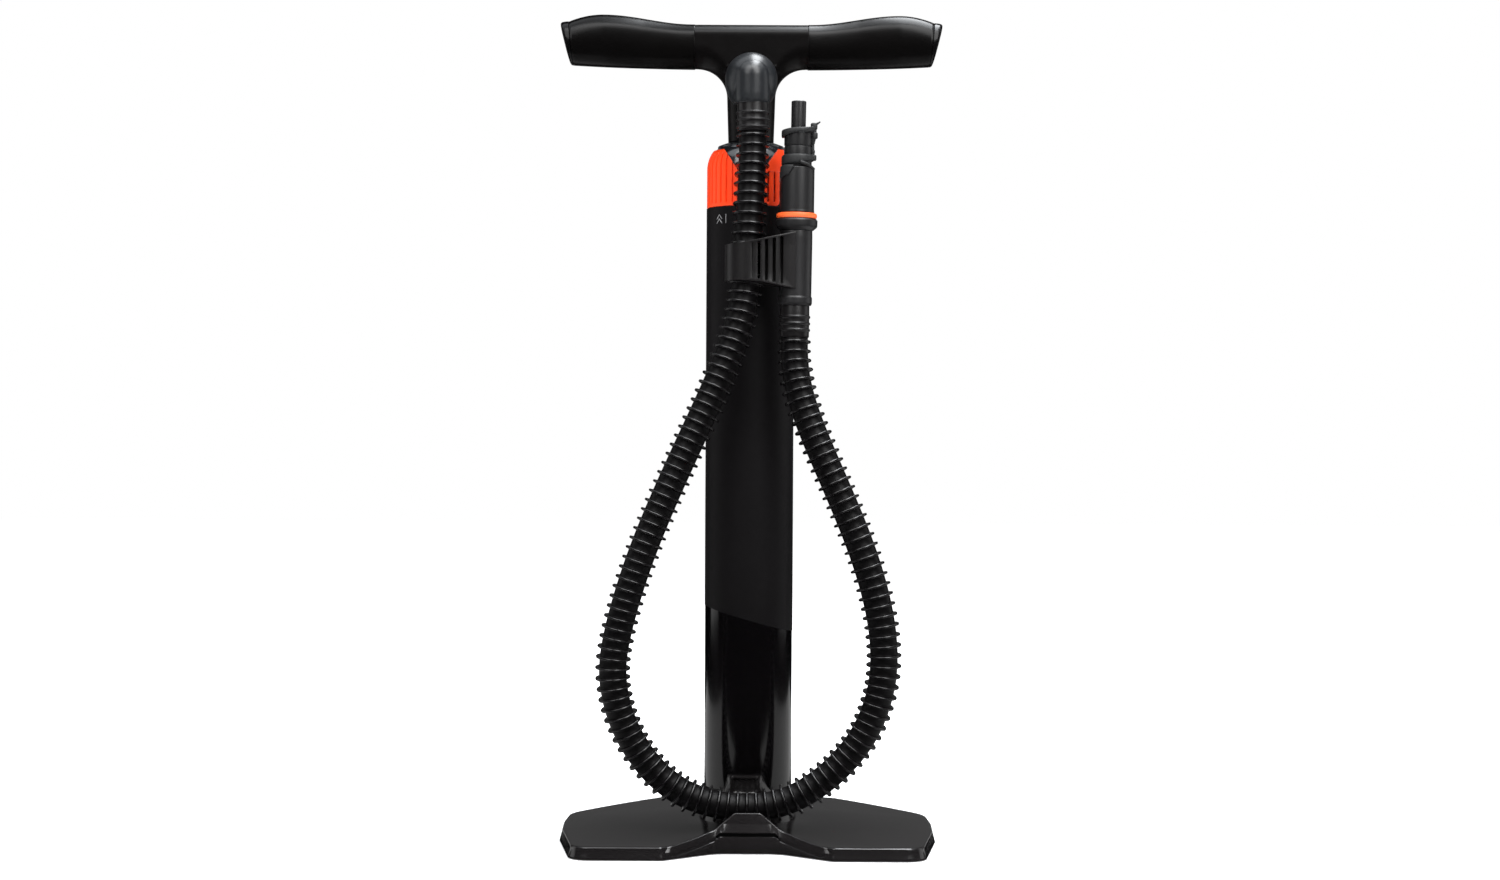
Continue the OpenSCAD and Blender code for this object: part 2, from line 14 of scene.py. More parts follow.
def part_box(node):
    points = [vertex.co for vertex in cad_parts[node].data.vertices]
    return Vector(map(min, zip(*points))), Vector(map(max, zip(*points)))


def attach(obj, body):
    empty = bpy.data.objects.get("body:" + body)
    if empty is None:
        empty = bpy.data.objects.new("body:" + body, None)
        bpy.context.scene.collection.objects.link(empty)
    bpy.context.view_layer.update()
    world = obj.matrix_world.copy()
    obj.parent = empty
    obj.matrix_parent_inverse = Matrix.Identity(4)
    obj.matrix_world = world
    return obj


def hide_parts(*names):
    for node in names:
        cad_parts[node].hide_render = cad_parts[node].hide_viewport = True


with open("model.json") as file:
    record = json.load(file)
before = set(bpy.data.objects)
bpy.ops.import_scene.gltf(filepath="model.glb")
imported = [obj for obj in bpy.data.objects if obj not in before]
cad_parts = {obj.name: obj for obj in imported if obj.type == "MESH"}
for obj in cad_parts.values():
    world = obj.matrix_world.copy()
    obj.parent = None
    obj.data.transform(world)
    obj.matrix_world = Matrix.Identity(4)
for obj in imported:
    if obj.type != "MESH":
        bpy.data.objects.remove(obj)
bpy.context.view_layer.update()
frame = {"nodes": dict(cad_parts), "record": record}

MM = 0.001


def span(node):
    """Lowest and highest corner of a CAD node, in millimetres."""
    low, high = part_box(node)
    return Vector(low) / MM, Vector(high) / MM


# ---- driving sizes, all from the frame ----
BARREL_LOW, BARREL_HIGH = span("barrel")
BARREL_R = BARREL_HIGH.x
WRAP_R = span("barrel_wrap")[1].x
COLLAR_R = span("cap_collar")[1].x
CAP_TOP = span("top_cap")[1].z
HUB_LOW, HUB_HIGH = span("handle_hub")
HUB_HALF = HUB_HIGH.x
BASE_HIGH = span("base_plate")[1]
BASE_HALF_W = BASE_HIGH.x
BASE_HALF_D = BASE_HIGH.y
PAD_TOP = span("foot_pads")[1].z
GRIP_HIGH = span("right_grip")[1]
CAP_END = span("right_end_cap")[1].x
UNION_LOW, UNION_HIGH = span("union_collar")
SWIVEL_Z = (UNION_LOW.z + UNION_HIGH.z) / 2
CUFF_LOW, CUFF_HIGH = span("hose_cuff_top")
NECK_X = (CUFF_LOW.x + CUFF_HIGH.x) / 2
NECK_Y = (CUFF_LOW.y + CUFF_HIGH.y) / 2

# hose: the route of part.scad, in metres
HOSE_R = 0.0125
HOSE_CORE = 0.0096
RIB_PITCH = 0.00695
HOSE_ROUTE = [
    (0.0013, -0.042, 0.5035), (0.0012, -0.043, 0.488), (0.0005, -0.046, 0.468),
    (-0.0005, -0.0485, 0.445), (-0.0014, -0.049, 0.427), (-0.0025, -0.0495, 0.408),
    (-0.0035, -0.05, 0.392), (-0.007, -0.052, 0.37), (-0.018, -0.055, 0.337),
    (-0.036, -0.059, 0.297), (-0.056, -0.063, 0.253), (-0.075, -0.065, 0.207),
    (-0.088, -0.064, 0.165), (-0.094, -0.062, 0.136), (-0.094, -0.06, 0.115),
    (-0.087, -0.056, 0.087), (-0.07, -0.052, 0.059), (-0.048, -0.0495, 0.04),
    (-0.024, -0.0482, 0.0315), (0, -0.048, 0.029), (0.024, -0.0484, 0.032),
    (0.046, -0.0495, 0.0435), (0.066, -0.052, 0.061), (0.082, -0.0545, 0.082),
    (0.092, -0.058, 0.109), (0.095, -0.061, 0.136), (0.091, -0.063, 0.17),
    (0.079, -0.0625, 0.211), (0.06, -0.06, 0.256), (0.042, -0.055, 0.297),
    (0.033, -0.051, 0.326), (0.031, -0.0484, 0.346), (0.031, -0.0475, 0.359),
]

# connector: its own frame has z = 0 at its lower end
CONN_AT = Vector((31.3, -47.5, 381))
CONN_LEAN = math.radians(0.85)
CONNECTOR = Matrix.Translation(CONN_AT) @ Matrix.Rotation(CONN_LEAN, 4, "Y")
# things on the swivel's axis: z runs to the front
SWIVEL = Matrix.Translation((0, 0, SWIVEL_Z)) @ Matrix.Rotation(math.radians(90), 4, "X")


# ---- camera, floor and light ----
def aim(obj, target):
    direction = Vector(target) - obj.location
    obj.rotation_euler = direction.to_track_quat("-Z", "Y").to_euler()


def make_camera():
    camera = bpy.data.objects.new("camera", bpy.data.cameras.new("camera"))
    camera.data.sensor_width = 36
    camera.data.lens = 58.5
    camera.data.clip_end = 50
    camera.location = (0.0004, -1.754, 0.293)
    level = Matrix.Rotation(math.radians(90 - 0.21), 4, "X")
    camera.rotation_euler = (level @ Matrix.Rotation(math.radians(0.3), 4, "Z")).to_euler()
    bpy.context.scene.collection.objects.link(camera)
    bpy.context.scene.camera = camera


def softbox(name, place, target, size, radiance, colour=(1, 1, 1)):
    """Even rectangular panel, bright to the same degree whatever its size."""
    light = bpy.data.lights.new(name, "AREA")
    light.shape = "RECTANGLE"
    light.size, light.size_y = size
    light.energy = radiance * math.pi * size[0] * size[1]
    light.color = colour
    obj = bpy.data.objects.new(name, light)
    obj.location = place
    obj.visible_camera = False
    bpy.context.scene.collection.objects.link(obj)
    aim(obj, target)


MIDDLE = (0, 0, 0.35)


def around(distance, azimuth, elevation):
    """Place seen from MIDDLE: azimuth 0 is the front, positive to the right."""
    turn = math.radians(azimuth)
    rise = math.radians(elevation)
    flat = distance * math.cos(rise)
    return (flat * math.sin(turn), -flat * math.cos(turn), MIDDLE[2] + distance * math.sin(rise))


def make_lights():
    softbox("key_right", around(1.75, 31, 44), MIDDLE, (0.85, 1.7), 6.5)
    softbox("key_left", around(1.75, -31, 44), MIDDLE, (0.85, 1.7), 3.4)
    softbox("side_right", around(1.9, 102, 10), MIDDLE, (1.1, 1.5), 0.8)
    softbox("side_left", around(1.9, -102, 10), MIDDLE, (1.1, 1.5), 0.7)
    softbox("top", (0, -0.1, 2.0), MIDDLE, (3.4, 1.7), 1.3, (0.92, 0.96, 1.0))
    softbox("top_right", (0.36, 0.3, 1.95), (0.36, 0.3, 0), (0.6, 1.4), 13.0, (0.94, 0.97, 1.0))
    softbox("fill", around(1.7, 0, 60), MIDDLE, (0.9, 0.5), 3.0)
    softbox("back", (0, 2.3, 0.9), MIDDLE, (3.0, 1.8), 0.1)
    for side in (-1, 1):
        softbox("floor_glow", (side * 0.36, 0.22, 0.0012), (side * 0.36, 0.22, 1), (0.42, 0.95), 0.55)


def make_world():
    """Even white surround that only the camera sees, so that black surfaces stay black."""
    world = bpy.data.worlds.new("studio")
    bpy.context.scene.world = world
    world.use_nodes = True
    surround = world.node_tree.nodes["Background"]
    surround.inputs["Color"].default_value = (1, 1, 1, 1)
    surround.inputs["Strength"].default_value = 1.0
    world.cycles_visibility.glossy = False
    world.cycles_visibility.diffuse = False
    bpy.context.scene.view_settings.view_transform = "Standard"


# ---- materials ----
class Nodes:
    """Short hand for building a node tree round one Principled shader."""

    def __init__(self, name):
        self.material = bpy.data.materials.new(name)
        self.material.use_nodes = True
        self.tree = self.material.node_tree
        self.tree.nodes.clear()
        self.shader = self.add("ShaderNodeBsdfPrincipled")
        out = self.add("ShaderNodeOutputMaterial")
        self.link(self.shader.outputs[0], out.inputs["Surface"])
        self.place = self.add("ShaderNodeTexCoord").outputs["Object"]

    def add(self, kind, **settings):
        node = self.tree.nodes.new(kind)
        for key, value in settings.items():
            setattr(node, key, value)
        return node

    def link(self, a, b):
        self.tree.links.new(a, b)

    def noise(self, scale, detail=3.0, rough=0.55, stretch=None):
        node = self.add("ShaderNodeTexNoise")
        node.inputs["Scale"].default_value = scale
        node.inputs["Detail"].default_value = detail
        node.inputs["Roughness"].default_value = rough
        source = self.place
        if stretch:
            mapping = self.add("ShaderNodeMapping")
            mapping.inputs["Scale"].default_value = stretch
            self.link(self.place, mapping.inputs["Vector"])
            source = mapping.outputs[0]
        self.link(source, node.inputs["Vector"])
        return node.outputs["Fac"]

    def ramp(self, value, low, high, to_low, to_high):
        node = self.add("ShaderNodeMapRange")
        for key, number in (("From Min", low), ("From Max", high), ("To Min", to_low), ("To Max", to_high)):
            node.inputs[key].default_value = number
        self.link(value, node.inputs["Value"])
        return node.outputs["Result"]

    def colours(self, value, stops):
        node = self.add("ShaderNodeValToRGB")
        ramp = node.color_ramp
        while len(ramp.elements) < len(stops):
            ramp.elements.new(0.5)
        for element, (at, colour) in zip(ramp.elements, stops):
            element.position = at
            element.color = (*colour, 1)
        self.link(value, node.inputs["Fac"])
        return node.outputs["Color"]

    def maths(self, operation, a, b):
        node = self.add("ShaderNodeMath", operation=operation)
        for socket, value in zip(node.inputs, (a, b)):
            if isinstance(value, (int, float)):
                socket.default_value = value
            else:
                self.link(value, socket)
        return node.outputs[0]

    def bump(self, height, strength, distance, under=None):
        node = self.add("ShaderNodeBump")
        node.inputs["Strength"].default_value = strength
        node.inputs["Distance"].default_value = distance
        self.link(height, node.inputs["Height"])
        if under is not None:
            self.link(under, node.inputs["Normal"])
        return node.outputs["Normal"]


def tint(colour, factor):
    return tuple(min(1.0, c * factor) for c in colour)


def moulded(name, colour, rough, spread, grain, grain_depth, coat=0.0, specular=0.5):
    """Moulded plastic or rubber: even colour with faint flow variation, fine grain and light wear."""
    n = Nodes(name)
    flow = n.noise(9, 4)
    n.link(n.colours(flow, [(0.3, tint(colour, 0.86)), (0.7, tint(colour, 1.18))]),
           n.shader.inputs["Base Color"])
    handled = n.noise(38, 5, 0.62)
    speck = n.noise(420, 2)
    mixed = n.maths("ADD", n.maths("MULTIPLY", handled, 0.75), n.maths("MULTIPLY", speck, 0.25))
    n.link(n.ramp(mixed, 0.3, 0.7, rough - spread, rough + spread), n.shader.inputs["Roughness"])
    fine = n.bump(n.noise(grain, 2), 0.5, grain_depth)
    n.link(n.bump(n.noise(26, 2), 0.25, grain_depth * 4, fine), n.shader.inputs["Normal"])
    n.shader.inputs["Specular IOR Level"].default_value = specular
    n.shader.inputs["Coat Weight"].default_value = coat
    n.shader.inputs["Coat Roughness"].default_value = 0.08
    return n.material


def metal(name, colour, rough, stretch):
    """Drawn or turned metal with fine lines along its length."""
    n = Nodes(name)
    lines = n.noise(60, 4, 0.6, stretch)
    n.link(n.colours(lines, [(0.25, tint(colour, 0.8)), (0.75, tint(colour, 1.1))]),
           n.shader.inputs["Base Color"])
    n.link(n.ramp(lines, 0.3, 0.7, rough - 0.08, rough + 0.1), n.shader.inputs["Roughness"])
    n.link(n.bump(lines, 0.3, 0.00004), n.shader.inputs["Normal"])
    n.shader.inputs["Metallic"].default_value = 1.0
    return n.material


# colour, roughness, its spread, scale and depth of the grain, then coat and specular where given
MOULDED = {
    "gloss_black": ((0.0018, 0.0015, 0.0018), 0.13, 0.03, 700, 0.000001, 0.3),
    "satin_black": ((0.0045, 0.0039, 0.0042), 0.34, 0.05, 1500, 0.000004),
    # lighter, bluish colour: painted reflection of the overhead light on the glossy black inner cap
    "cap_gloss_painted_reflection": ((0.011, 0.012, 0.015), 0.2, 0.04, 900, 0.000002, 0.9, 0.8),
    "elbow_grey": ((0.0095, 0.0105, 0.012), 0.33, 0.04, 1500, 0.000004),
    "hub_black": ((0.0022, 0.0018, 0.0018), 0.33, 0.05, 1500, 0.000004, 0.0, 0.14),
    # painted shade: near-black and dull, for the strip in the front wall's shadow gap
    "gap_painted_shade_black": ((0.0009, 0.0009, 0.0009), 0.6, 0.03, 900, 0.0000004, 0.0, 0.04),
    "plug_black": ((0.002, 0.0018, 0.002), 0.2, 0.03, 900, 0.0000004, 0.0, 0.2),
    "base_black": ((0.0095, 0.0085, 0.0088), 0.18, 0.04, 700, 0.000001, 0.2),
    "print_grey": ((0.2, 0.2, 0.205), 0.5, 0.05, 2600, 0.000004),
    "wrap_black": ((0.0033, 0.0027, 0.0032), 0.5, 0.05, 2600, 0.000006, 0.0, 0.16),
    "grip_black": ((0.0018, 0.0016, 0.0016), 0.24, 0.03, 1900, 0.0000004, 0.0, 0.15),
    "charcoal": ((0.0085, 0.0082, 0.0088), 0.38, 0.05, 1700, 0.000012),
    "orange": ((0.84, 0.048, 0.006), 0.42, 0.06, 1400, 0.00001, 0.0, 0.3),
    "orange_rubber": ((0.9, 0.115, 0.02), 0.45, 0.06, 1600, 0.00001),
    "hose_black": ((0.0035, 0.003, 0.0034), 0.24, 0.04, 1100, 0.000001, 0.2),
    # darker copy of the hose rubber for the valleys between ribs: painted shade, with a rougher, less shiny
    # finish
    "hose_core_painted_shade": ((0.0028, 0.0024, 0.0027), 0.42, 0.03, 1100, 0.0000005, 0.0, 0.16),
    "seal_rubber": ((0.012, 0.012, 0.012), 0.5, 0.06, 1800, 0.00001),
    "pad_rubber": ((0.02, 0.02, 0.02), 0.7, 0.08, 900, 0.00003),
    "leash_rubber": ((0.0125, 0.0128, 0.0135), 0.55, 0.08, 1300, 0.00002),
    "acetal": ((0.72, 0.7, 0.63), 0.4, 0.05, 1500, 0.00001),
}
LOOKS = {name: moulded(name, *settings) for name, settings in MOULDED.items()}
LOOKS["steel"] = metal("steel", (0.55, 0.55, 0.56), 0.3, (1, 12, 12))
LOOKS["aluminium"] = metal("aluminium", (0.72, 0.73, 0.74), 0.26, (14, 14, 0.6))


# ---- mesh helpers ----
def linked(name, mesh):
    obj = bpy.data.objects.new(name, mesh)
    bpy.context.scene.collection.objects.link(obj)
    return obj


def new_object(name, verts, faces, place=None):
    """Mesh object from points in millimetres, welded and shaded smooth."""
    mesh = bpy.data.meshes.new(name)
    move = place or Matrix.Identity(4)
    mesh.from_pydata([(move @ Vector(v)) * MM for v in verts], [], faces)
    bm = bmesh.new()
    bm.from_mesh(mesh)
    bmesh.ops.remove_doubles(bm, verts=bm.verts, dist=2e-6)
    bmesh.ops.dissolve_degenerate(bm, edges=bm.edges, dist=1e-7)
    bmesh.ops.recalc_face_normals(bm, faces=bm.faces)
    for face in bm.faces:
        face.smooth = True
    bm.to_mesh(mesh)
    bm.free()
    return linked(name, mesh)


def crease(obj, degrees):
    """Sharp shading where faces meet at more than this angle."""
    bm = bmesh.new()
    bm.from_mesh(obj.data)
    for edge in bm.edges:
        edge.smooth = edge.calc_face_angle(0) < math.radians(degrees)
    bm.to_mesh(obj.data)
    bm.free()
    return obj


def applied(obj):
    """Turns the object's modifiers into its mesh."""
    graph = bpy.context.evaluated_depsgraph_get()
    mesh = bpy.data.meshes.new_from_object(obj.evaluated_get(graph), depsgraph=graph)
    old = obj.data
    obj.modifiers.clear()
    obj.data = mesh
    bpy.data.meshes.remove(old)
    obj.data.name = obj.name
    return obj


def smooth_shaded(obj):
    for polygon in obj.data.polygons:
        polygon.use_smooth = True
    return obj


def joined(name, parts):
    """One object from several closed meshes."""
    bm = bmesh.new()
    for part in parts:
        bm.from_mesh(part.data)
        bpy.data.objects.remove(part)
    mesh = bpy.data.meshes.new(name)
    bm.to_mesh(mesh)
    bm.free()
    return linked(name, mesh)


def fused(name, parts, voxel, rounds):
    """Joins closed parts into one skin with small fillets where they meet."""
    obj = joined(name, parts)
    remesh = obj.modifiers.new("skin", "REMESH")
    remesh.mode = "VOXEL"
    remesh.voxel_size = voxel * MM
    smooth = obj.modifiers.new("soften", "SMOOTH")
    smooth.factor = 0.5
    smooth.iterations = rounds
    return smooth_shaded(applied(obj))


def cut_by(obj, cutters, width, degrees):
    """Takes the cutters away from obj and rounds the sharp edges by the given width in millimetres."""
    tool = joined("tool", cutters)
    cut = obj.modifiers.new("cut", "BOOLEAN")
    cut.operation = "DIFFERENCE"
    cut.object = tool
    cut.solver = "EXACT"
    if width:
        edge = obj.modifiers.new("edge", "BEVEL")
        edge.width = width * MM
        edge.segments = 2
        edge.limit_method = "ANGLE"
        edge.angle_limit = math.radians(degrees)
    applied(obj)
    bpy.data.objects.remove(tool)
    return smooth_shaded(obj)


def rounded(points, closed=False, steps=5):
    """Replaces each corner that has a third number, its radius, by an arc."""
    out = []
    count = len(points)
    for i, point in enumerate(points):
        here = Vector(point[:2])
        ends = not closed and i in (0, count - 1)
        if len(point) < 3 or ends:
            out.append(here)
            continue
        back = Vector(points[i - 1][:2]) - here
        on = Vector(points[(i + 1) % count][:2]) - here
        half = back.angle(on) / 2
        cut = min(point[2] / math.tan(half), back.length * 0.49, on.length * 0.49)
        radius = cut * math.tan(half)
        centre = here + (back.normalized() + on.normalized()).normalized() * (radius / math.sin(half))
        u = here + back.normalized() * cut - centre
        v = here + on.normalized() * cut - centre
        turn = u.angle(v)
        for k in range(steps + 1):
            t = k / steps
            out.append(centre + (math.sin((1 - t) * turn) * u + math.sin(t * turn) * v) / math.sin(turn))
    return [tuple(p) for p in out]


def lathe(name, profile, sides=96, place=None, closed=True):
    """Turns a profile of (radius, height) about the z axis of place."""
    count = len(profile)
    verts = []
    for k in range(sides):
        a = math.tau * k / sides
        verts += [(r * math.cos(a), r * math.sin(a), z) for r, z in profile]
    faces = []
    for k in range(sides):
        j = (k + 1) % sides
        for i in range(count if closed else count - 1):
            m = (i + 1) % count
            faces.append((k * count + i, j * count + i, j * count + m, k * count + m))
    return new_object(name, verts, faces, place)


def side_faces(rings):
    """Faces between neighbouring rings that each have the same number of points."""
    sides = len(rings[0])
    faces = []
    for i in range(len(rings) - 1):
        for k in range(sides):
            j = (k + 1) % sides
            faces.append((i * sides + k, i * sides + j, (i + 1) * sides + j, (i + 1) * sides + k))
    return faces


def loft(name, rings, place=None, closed_ends=True):
    """Skin through rings, with a fan of triangles over each end unless it is left open."""
    sides = len(rings[0])
    verts = [p for ring in rings for p in ring]
    faces = side_faces(rings)
    if closed_ends:
        for start in (0, (len(rings) - 1) * sides):
            centre = sum((Vector(verts[start + k]) for k in range(sides)), Vector()) / sides
            verts.append(tuple(centre))
            for k in range(sides):
                faces.append((start + k, start + (k + 1) % sides, len(verts) - 1))
    return new_object(name, verts, faces, place)


def piece(obj, body, look, *nodes):
    """Gives a piece its finish and its body, and hides the CAD nodes it stands for."""
    obj.data.materials.clear()
    obj.data.materials.append(LOOKS[look])
    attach(obj, body)
    if nodes:
        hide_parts(*nodes)
    return obj


def smoothstep(t):
    t = max(0.0, min(1.0, t))
    return t * t * (3 - 2 * t)


def lookup(table, x):
    """Value at x on straight lines through pairs of x and value, held beyond the ends."""
    for (x0, v0), (x1, v1) in zip(table, table[1:]):
        if x0 <= x <= x1 and x1 > x0:
            return v0 + (v1 - v0) * (x - x0) / (x1 - x0)
    return table[0][1] if x < table[0][0] else table[-1][1]


def superellipse(a, b, power, sides):
    """Points of a rounded section with half sizes a and b."""
    out = []
    for k in range(sides):
        t = math.tau * k / sides
        c, s = math.cos(t), math.sin(t)
        out.append((math.copysign(a * abs(c) ** (2 / power), c), math.copysign(b * abs(s) ** (2 / power), s)))
    return out


# ---- hose ----
def catmull(a, b, c, d, u):
    """Place at share u from b to c on the Catmull-Rom curve through four neighbours."""
    return 0.5 * (2 * b + (c - a) * u + (2 * a - 5 * b + 4 * c - d) * u * u
                  + (3 * b - a - 3 * c + d) * u * u * u)


def curve_through(points, steps):
    """Catmull-Rom curve through points, then softened so that its bend changes gently."""
    pts = [Vector(p) for p in points]
    out = []
    for i in range(len(pts) - 1):
        a, b, c, d = pts[max(i - 1, 0)], pts[i], pts[i + 1], pts[min(i + 2, len(pts) - 1)]
        for k in range(steps):
            out.append(catmull(a, b, c, d, k / steps))
    out.append(pts[-1])
    for _ in range(60):
        inner = [(out[i - 1] + 2 * out[i] + out[i + 1]) / 4 for i in range(1, len(out) - 1)]
        out = [out[0], *inner, out[-1]]
    return out


def lengths(path):
    total = [0.0]
    for a, b in zip(path, path[1:]):
        total.append(total[-1] + (b - a).length)
    return total


def at_length(path, run, s):
    """Point and direction at arc length s along a path."""
    low, high = 0, len(path) - 2
    while low < high:
        mid = (low + high + 1) // 2
        if run[mid] <= s:
            low = mid
        else:
            high = mid - 1
    t = (s - run[low]) / (run[low + 1] - run[low])
    a = path[max(low - 1, 0)]
    b = path[min(low + 2, len(path) - 1)]
    return path[low].lerp(path[low + 1], t), (b - a).normalized()


# one pitch of the hose: where along it, as a share of the pitch, and how high towards the crest
HALF_RIB = [(0.0, 0.0), (0.275, 0.0), (0.312, 0.03), (0.335, 0.12), (0.352, 0.35), (0.37, 0.65),
            (0.39, 0.86), (0.42, 0.95), (0.465, 0.99), (0.5, 1.0)]
RIB = HALF_RIB + [(1 - share, high) for share, high in HALF_RIB[-2:0:-1]]


def make_hose():
    path = curve_through(HOSE_ROUTE, 12)
    run = lengths(path)
    total = run[-1]
    ribs = round(total / RIB_PITCH)
    pitch = total / ribs
    sides = 36
    rings = []
    centres = []

    def ring(s, radius):
        centre, along = at_length(path, run, min(max(s, 0), total))
        n = Vector((0, 1, 0)).cross(along).normalized()
        b = along.cross(n)
        centres.append(tuple(centre))
        rings.append([(centre + radius * (math.cos(a) * n + math.sin(a) * b)) / MM
                      for a in (math.tau * k / sides for k in range(sides))])

    for i in range(ribs):
        crest = HOSE_R - 0.00015
        in_cuff = i < 3 or i > ribs - 4
        if in_cuff:
            crest -= 0.0007
        for share, high in RIB:
            ring((i + share) * pitch, HOSE_CORE + (crest - HOSE_CORE) * high)
    ring(total, HOSE_CORE)
    hose = piece(loft("hose_tube", rings), "hose_set", "hose_black", "hose")
    hose.data.materials.append(LOOKS["hose_core_painted_shade"])
    # crests keep the hose rubber; the valleys between ribs get its darker copy, painted shade
    count = len(RIB)
    for polygon in hose.data.polygons:
        step = polygon.index // sides % count
        on_crest = 3 <= step <= count - 4
        polygon.material_index = 0 if on_crest else 1
    return hose, centres, total


def make_cuff(name, node, place, length, core, rib, rings):
    """Moulded end of the hose with small raised rings at the given heights."""
    points = [(8.2, 0), (core - 0.2, 0, 0.3), (core, 0.8, 0.3)]
    for z in rings:
        points += [(core, z - 1.2, 0.4), (rib, z - 0.45, 0.4), (rib, z + 0.45, 0.4), (core, z + 1.2, 0.4)]
    points += [(core - 0.1, length, 0.4), (8.2, length)]
    cuff = lathe(name, rounded(points, steps=4), 64, place)
    return piece(cuff, "hose_set", "satin_black", node)


def make_hose_ends():
    top = Matrix.Translation((NECK_X, NECK_Y, CUFF_HIGH.z)) @ Matrix.Rotation(math.pi, 4, "X")
    upper = make_cuff("upper_cuff", "hose_cuff_top", top, 20.2, 11.1, 12.0, (7.5, 12.5, 17.5))
    below = 22.3
    lower = CONNECTOR @ Matrix.Translation((0, 0, -below))
    end = make_cuff("lower_cuff", "hose_cuff_end", lower, below, 10.3, 11.0, (5.1, 9.6, 14.2))
    return upper, end


# ---- barrel and cap ----
def make_barrel():
    low, high = BARREL_LOW.z, BARREL_HIGH.z
    profile = rounded([(BARREL_R - 2.5, low), (BARREL_R, low, 0.4), (BARREL_R, high, 0.5),
                       (BARREL_R - 2.5, high, 0.4)], closed=True)
    piece(lathe("barrel_tube", profile, 160), "pump_body", "gloss_black", "barrel")


def make_wrap():
    """Matte sleeve: a thin skin whose lower edge slants round the barrel."""
    sides, rows = 160, 24
    top = span("barrel_wrap")[1].z
    mid = 159.0
    slope = math.tan(math.radians(16))
    rings = []
    for radius, order in ((WRAP_R, range(rows + 1)), (BARREL_R + 0.02, range(rows, -1, -1))):
        for i in order:
            ring = []
            for k in range(sides):
                a = math.tau * k / sides
                low = mid - slope * radius * math.cos(a)
                z = low + (top - low) * i / rows
                ring.append((radius * math.cos(a), radius * math.sin(a), z))
            rings.append(ring)
    rings.append(rings[0])
    sleeve = crease(loft("barrel_sleeve", rings, closed_ends=False), 40)
    plain = len(sleeve.data.polygons)
    wrap = joined("barrel_sleeve", [sleeve, *printed_mark()])
    piece(wrap, "pump_body", "wrap_black", "barrel_wrap")
    wrap.data.materials.append(LOOKS["print_grey"])
    for polygon in wrap.data.polygons[plain:]:
        polygon.material_index = 1


def printed_mark():
    """Small generic pictogram printed on the sleeve: two chevrons and a bar, left of the hose."""
    low, step = 440.6, 3
    strokes = [[(-27, z), (-24.6, z + step), (-22.2, z)] for z in (low, low + step)]
    strokes.append([(-18.6, low), (-18.6, low + 2 * step)])
    half = 0.28
    made = []
    for points in strokes:
        for (x0, z0), (x1, z1) in zip(points, points[1:]):
            along = Vector((x1 - x0, z1 - z0)).normalized() * half
            out = Vector((-along.y, along.x))
            flat = [(x0 - along.x + out.x, z0 - along.y + out.y),
                    (x1 + along.x + out.x, z1 + along.y + out.y),
                    (x1 + along.x - out.x, z1 + along.y - out.y),
                    (x0 - along.x - out.x, z0 - along.y - out.y)]
            rings = []
            for r in (WRAP_R + 0.05, WRAP_R - 0.05):
                rings.append([(r * math.sin(a / WRAP_R), -r * math.cos(a / WRAP_R), z) for a, z in flat])
            made.append(loft("stroke", rings))
    return made


def shoulder(outer, rise, steep):
    """Quarter-ellipse shoulder of the cap parts, from the side up to an angle."""
    mid, base = 19.0, 480.0
    turns = [math.radians(steep * i / 12) for i in range(13)]
    return [(mid + (outer - mid) * math.cos(t), base + rise * math.sin(t)) for t in turns]


def make_cap():
    rod_hole, bore, ceiling = 11.3, 25, 478
    side = shoulder(COLLAR_R - 1.3, 17.0, 64)
    points = [(rod_hole, ceiling), (rod_hole, CAP_TOP - 1.5, 0.3), (14.6, CAP_TOP - 1.2, 0.5),
              (15.6, CAP_TOP - 0.2, 0.8), (16.6, CAP_TOP - 0.2, 0.8), (23.6, 497.2, 1.0)]
    points += side[::-1]
    points += [(side[0][0], BARREL_HIGH.z), (bore, BARREL_HIGH.z), (bore, ceiling)]
    # the inner cap's finish carries a painted reflection: a lighter, bluish colour for the overhead light
    piece(lathe("inner_cap", rounded(points, closed=True), 160), "pump_body", "cap_gloss_painted_reflection", "top_cap")


